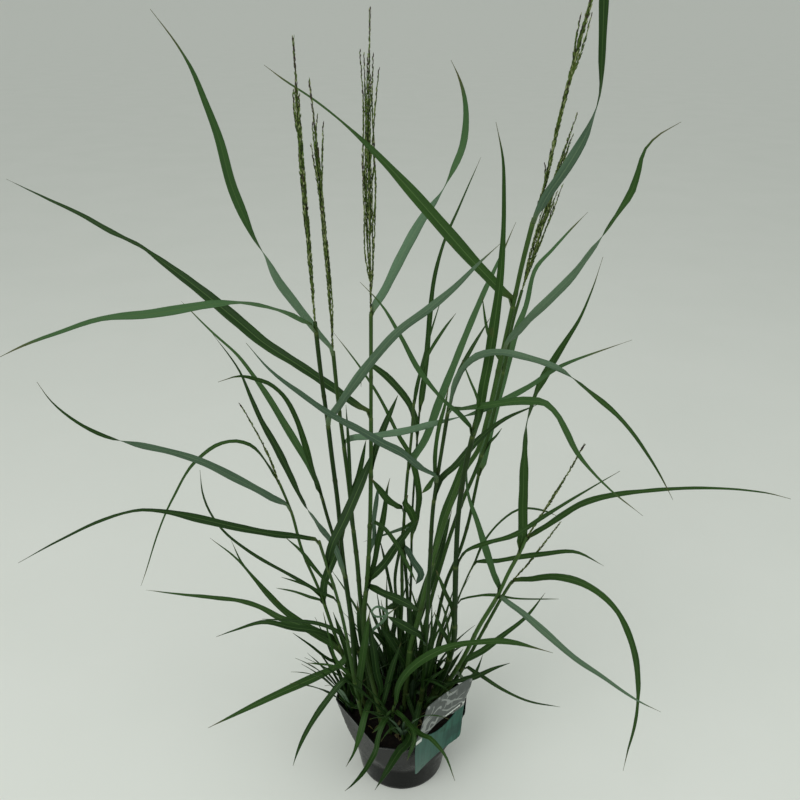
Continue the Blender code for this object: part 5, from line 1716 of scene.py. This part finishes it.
def add_litter(piece, place, turn, length, width, tone, chance):
    """A short dry strip lying on the soil, curled a little."""
    direction = heading(turn)
    arch = chance.uniform(0.001, 0.005)
    places, widths = [], []
    for i in range(LITTER_STEPS + 1):
        share = i / LITTER_STEPS
        bend = direction.cross(UP) * (0.15 * length * math.sin(math.pi * share))
        rise = UP * (0.0015 + arch * math.sin(math.pi * share))
        places.append(place + direction * length * (share - 0.5) + bend + rise)
        widths.append(max(LITTER_THINNEST, width * math.sin(math.pi * (0.1 + 0.8 * i / LITTER_STEPS))))
    add_blade(piece, places, widths, [direction.cross(UP)] * len(places), tone)


litter = Piece("dead_bits", "leaf", [dead_litter, dead_litter])
for u, v, turn in LITTER_PLACES:
    place = meet(u, v, Vector((0, 0, SOIL_TOP)), UP)
    if inside_pot(place.x, place.y, 0.012):
        place.z = soil_height(place.x, place.y)
        add_litter(litter, place, turn, 0.014, 0.004, 0.3 * chance.random(), chance)
for _ in range(LITTER):
    place = scatter(chance, 0.014)
    add_litter(litter, place, chance.uniform(0, 360), chance.uniform(0.006, 0.018),
               chance.choice((0.0012, 0.002, 0.004)), chance.random(), chance)
litter.finish()
print("dead bits:", LITTER + len(LITTER_PLACES))

# %% [markdown]
# ## The label
#
# One plastic card stands against the front right flat of the rim. A lens-shaped slot runs across
# its middle, and it bends outward above that. It is a grid whose edges are drawn in to round the
# corners, with the row of faces at the slot taken out and the lips moved apart, which keeps the
# faces even where a Boolean cut would leave slivers. Solidify gives it its thickness.

# %% Label shape
LABEL_WIDTH = 0.092
LABEL_BELOW_SLOT = 0.057
LABEL_ABOVE_SLOT = 0.066
LABEL_SLOT_PLACE = 0.1425
LABEL_ALONG = 0.006
LABEL_TAPER = 0.10
LABEL_TURN = math.radians(9)
LABEL_SKEW = 0.28
LABEL_LEAN = math.radians(6)
LABEL_CURL = 0.0035
LABEL_SLOT_LENGTH = 0.056
LABEL_SLOT_HALF_HEIGHT = 0.009
LABEL_THICKNESS = 0.0006
LABEL_CORNER = 0.006
LABEL_COLUMNS = 44
LABEL_ROWS = 61
LABEL_FACING = POT_TURN - math.pi / 2
LABEL_OUTWARD = Vector((math.cos(LABEL_FACING), math.sin(LABEL_FACING), 0))


def card_outline(height, end):
    """The share of the card's half width that is left at a height, to round its corners."""
    left = end - abs(height)
    if left >= LABEL_CORNER:
        return 1.0
    inset = LABEL_CORNER - math.sqrt(max(0, LABEL_CORNER ** 2 - (LABEL_CORNER - left) ** 2))
    return 1 - 2 * inset / LABEL_WIDTH


def make_label():
    bm = bmesh.new()
    uv = bm.loops.layers.uv.new("strip")
    bmesh.ops.create_grid(bm, x_segments=LABEL_COLUMNS, y_segments=LABEL_ROWS, size=0.5)
    half_slot = LABEL_SLOT_LENGTH / LABEL_WIDTH / 2
    half_row = 0.5 / LABEL_ROWS
    slot = [face for face in bm.faces if abs(face.calc_center_median().x) < half_slot
            and abs(face.calc_center_median().y) < half_row]
    bmesh.ops.delete(bm, geom=slot, context="FACES")
    flat = {}
    for vert in bm.verts:
        x, y = vert.co.x, vert.co.y
        end = LABEL_ABOVE_SLOT if y > 0 else LABEL_BELOW_SLOT
        lens = max(0, 1 - (x / half_slot) ** 2) * LABEL_SLOT_HALF_HEIGHT
        lens = max(lens, 2 * end * half_row)
        up = math.copysign(lens + (end - lens) * (abs(y) - half_row) / (0.5 - half_row), y)
        taper = 1 - LABEL_TAPER * max(0, up) / LABEL_ABOVE_SLOT
        flat[vert] = (x * LABEL_WIDTH * taper * card_outline(up, end), up)
    for face in bm.faces:
        for loop in face.loops:
            loop[uv].uv = flat[loop.vert]
    sideways = Vector((-LABEL_OUTWARD.y, LABEL_OUTWARD.x, 0))
    middle = (LABEL_OUTWARD * (POT_FLATS + GAP + LABEL_THICKNESS) + sideways * LABEL_ALONG
              + UP * LABEL_SLOT_PLACE)
    for vert, (x, up) in flat.items():
        across = x + up * LABEL_SKEW
        along_rim = across * math.cos(LABEL_TURN) - up * math.sin(LABEL_TURN)
        lift = across * math.sin(LABEL_TURN) + up * math.cos(LABEL_TURN)
        lean = math.sin(LABEL_LEAN) * smooth_step(up, 0.0, 0.012)
        curl = LABEL_CURL * (across / (LABEL_WIDTH / 2)) ** 2 * smooth_step(abs(up), 0.01, 0.05)
        vert.co = middle + sideways * along_rim + UP * lift + LABEL_OUTWARD * (up * lean + curl)
    bmesh.ops.recalc_face_normals(bm, faces=bm.faces)
    return bm


# %% [markdown]
# The print is plain and generic: a teal lower panel that pales to the left, a grey upper panel
# with soft cloudy swirls, a white toothed band with a small black square above the slot, and a
# short white mark at the slot's left end. A picture would need a file, so it is all worked out
# from the card's own coordinates.

# %% Label finish and label
PRINT_WHITE = (214, 217, 212)
SLOT_LINE = (0.0015, 0.0035)


def label_finish():
    finish = Finish("label_card", 0.38, Specular_IOR_Level=0.2)
    x, y, uv = finish.strip()

    def printed(across, up, detail, roughness=0.5):
        return finish.noise(finish.scaled(uv, across, up, 1.0), 1.0, detail, roughness)

    def near(value, inner, outer):
        return 1.0 - value.size().step(inner, outer)

    soft = printed(24.0, 24.0, 1.0)
    drift = printed(38.0, 30.0, 1.0)
    stroke = ((x * 0.60 + y + (soft - 0.5) * 0.11) * 300.0).sine().step(0.55, 0.78)
    cross = ((x * 1.1 - y * 0.5 + (drift - 0.5) * 0.09) * 260.0).sine().step(0.74, 0.90)
    swirl = (stroke * drift.step(0.40, 0.48) + cross * soft.step(0.46, 0.54)).clamp()
    upper = finish.mix(printed(260.0, 70.0, 4.0, 0.6), (56, 61, 59), (92, 98, 95))
    upper = finish.mix(swirl * 0.7, upper, (160, 165, 161))
    pale = (x * -16.0 + y * -9.0 + (soft - 0.5) * 0.9 - 0.15).clamp()
    patch = (x * 30.0 + soft * 0.6).step(0.55, 0.9) * near(y + 0.034, 0.006, 0.014)
    streaks = (printed(190.0, 24.0, 4.0, 0.6) * 2.0 - 0.5).clamp()
    lower = finish.coats(finish.mix(streaks, (14, 56, 46), (44, 100, 84)),
                         (pale * 0.65, (92, 116, 108)), (patch * 0.6, (24, 56, 50)))
    teeth = (x * 1500.0).sine() * 0.0010
    band = (y + teeth).step(0.0085, 0.0090) * (1.0 - y.step(0.0120, 0.0124)) * x.step(0.006, 0.007)
    square = near(x - 0.038, 0.0020, 0.0024) * near(y - 0.0100, 0.0020, 0.0024)
    corner = (0.0 - x).step(0.0350, 0.0360) * near(y + 0.002, 0.0030, 0.0034)
    dirt = finish.noise(finish.place(), 70.0, detail=5.0).step(0.60, 0.72) * 0.25
    card = finish.coats(finish.mix(y.step(*SLOT_LINE), lower, upper), (band, PRINT_WHITE),
                        (square, (26, 26, 26)), (corner * 0.9, PRINT_WHITE), (dirt, (70, 68, 60)))
    return finish.wear(Base_Color=card, Roughness=(0.32 + dirt + soft * 0.1).clamp(),
                       Normal=finish.bump(soft + swirl * 0.15, 0.0004, 0.4))


care_card = finish_piece("care_card", make_label(), "label_card", [label_finish()], "label")
if care_card.data.polygons[0].normal.dot(LABEL_OUTWARD) < 0:
    care_card.data.flip_normals()
solid = care_card.modifiers.new("thickness", "SOLIDIFY")
solid.thickness = LABEL_THICKNESS
solid.offset = 0
print("label:", len(care_card.data.polygons), "faces before it gets its thickness")

# %% [markdown]
# ## Floor and light
#
# A plain pale floor reaches past the picture, and rises very far away so that it has no
# horizon. One broad soft lamp stands high in front and to the left, a weaker one to the right,
# and a grey-white sky fills the shadows.

# %% Floor
FLOOR_REACH = 400.0
FLOOR_FLAT = 60.0
FLOOR_RISE = 90.0


def floor_finish():
    finish = Finish("pale_floor", 0.75)
    cloud = finish.noise(finish.place(), 3.0)
    return finish.wear(Base_Color=finish.mix(cloud, (222, 226, 220), (228, 231, 226)))


floor_bm = bmesh.new()
bmesh.ops.create_grid(floor_bm, x_segments=40, y_segments=40, size=FLOOR_REACH)
for vert in floor_bm.verts:
    away = max(0, (vert.co.xy.length - FLOOR_FLAT) / (FLOOR_REACH - FLOOR_FLAT))
    vert.co.z = FLOOR_RISE * away ** 2
floor = mesh_object("floor", floor_bm, [floor_finish()])
print("floor:", 2 * FLOOR_REACH, "m wide, level out to", FLOOR_FLAT, "m")

# %% Lamps and sky
AIM = Vector((0, 0, 0.4))


def add_lamp(name, place, size, power, colour):
    data = bpy.data.lights.new(name, "AREA")
    data.shape = "DISK"
    data.size = size
    data.energy = power
    data.color = colour
    lamp = bpy.data.objects.new(name, data)
    lamp.location = place
    lamp.rotation_euler = (AIM - Vector(place)).to_track_quat("-Z", "Y").to_euler()
    bpy.context.scene.collection.objects.link(lamp)


add_lamp("soft_key", (-1.6, -1.9, 2.9), 2.4, 50, (1.0, 1.0, 0.98))
add_lamp("soft_fill", (2.2, -1.2, 2.0), 2.0, 14, (0.97, 1.0, 0.98))
sky = bpy.data.worlds.new("soft_sky")
sky.use_nodes = True
backdrop = sky.node_tree.nodes["Background"]
backdrop.inputs["Color"].default_value = (0.87, 0.90, 0.865, 1.0)
backdrop.inputs["Strength"].default_value = 0.63
bpy.context.scene.world = sky
bpy.context.scene.view_settings.view_transform = "Standard"
print("two lamps and a sky")
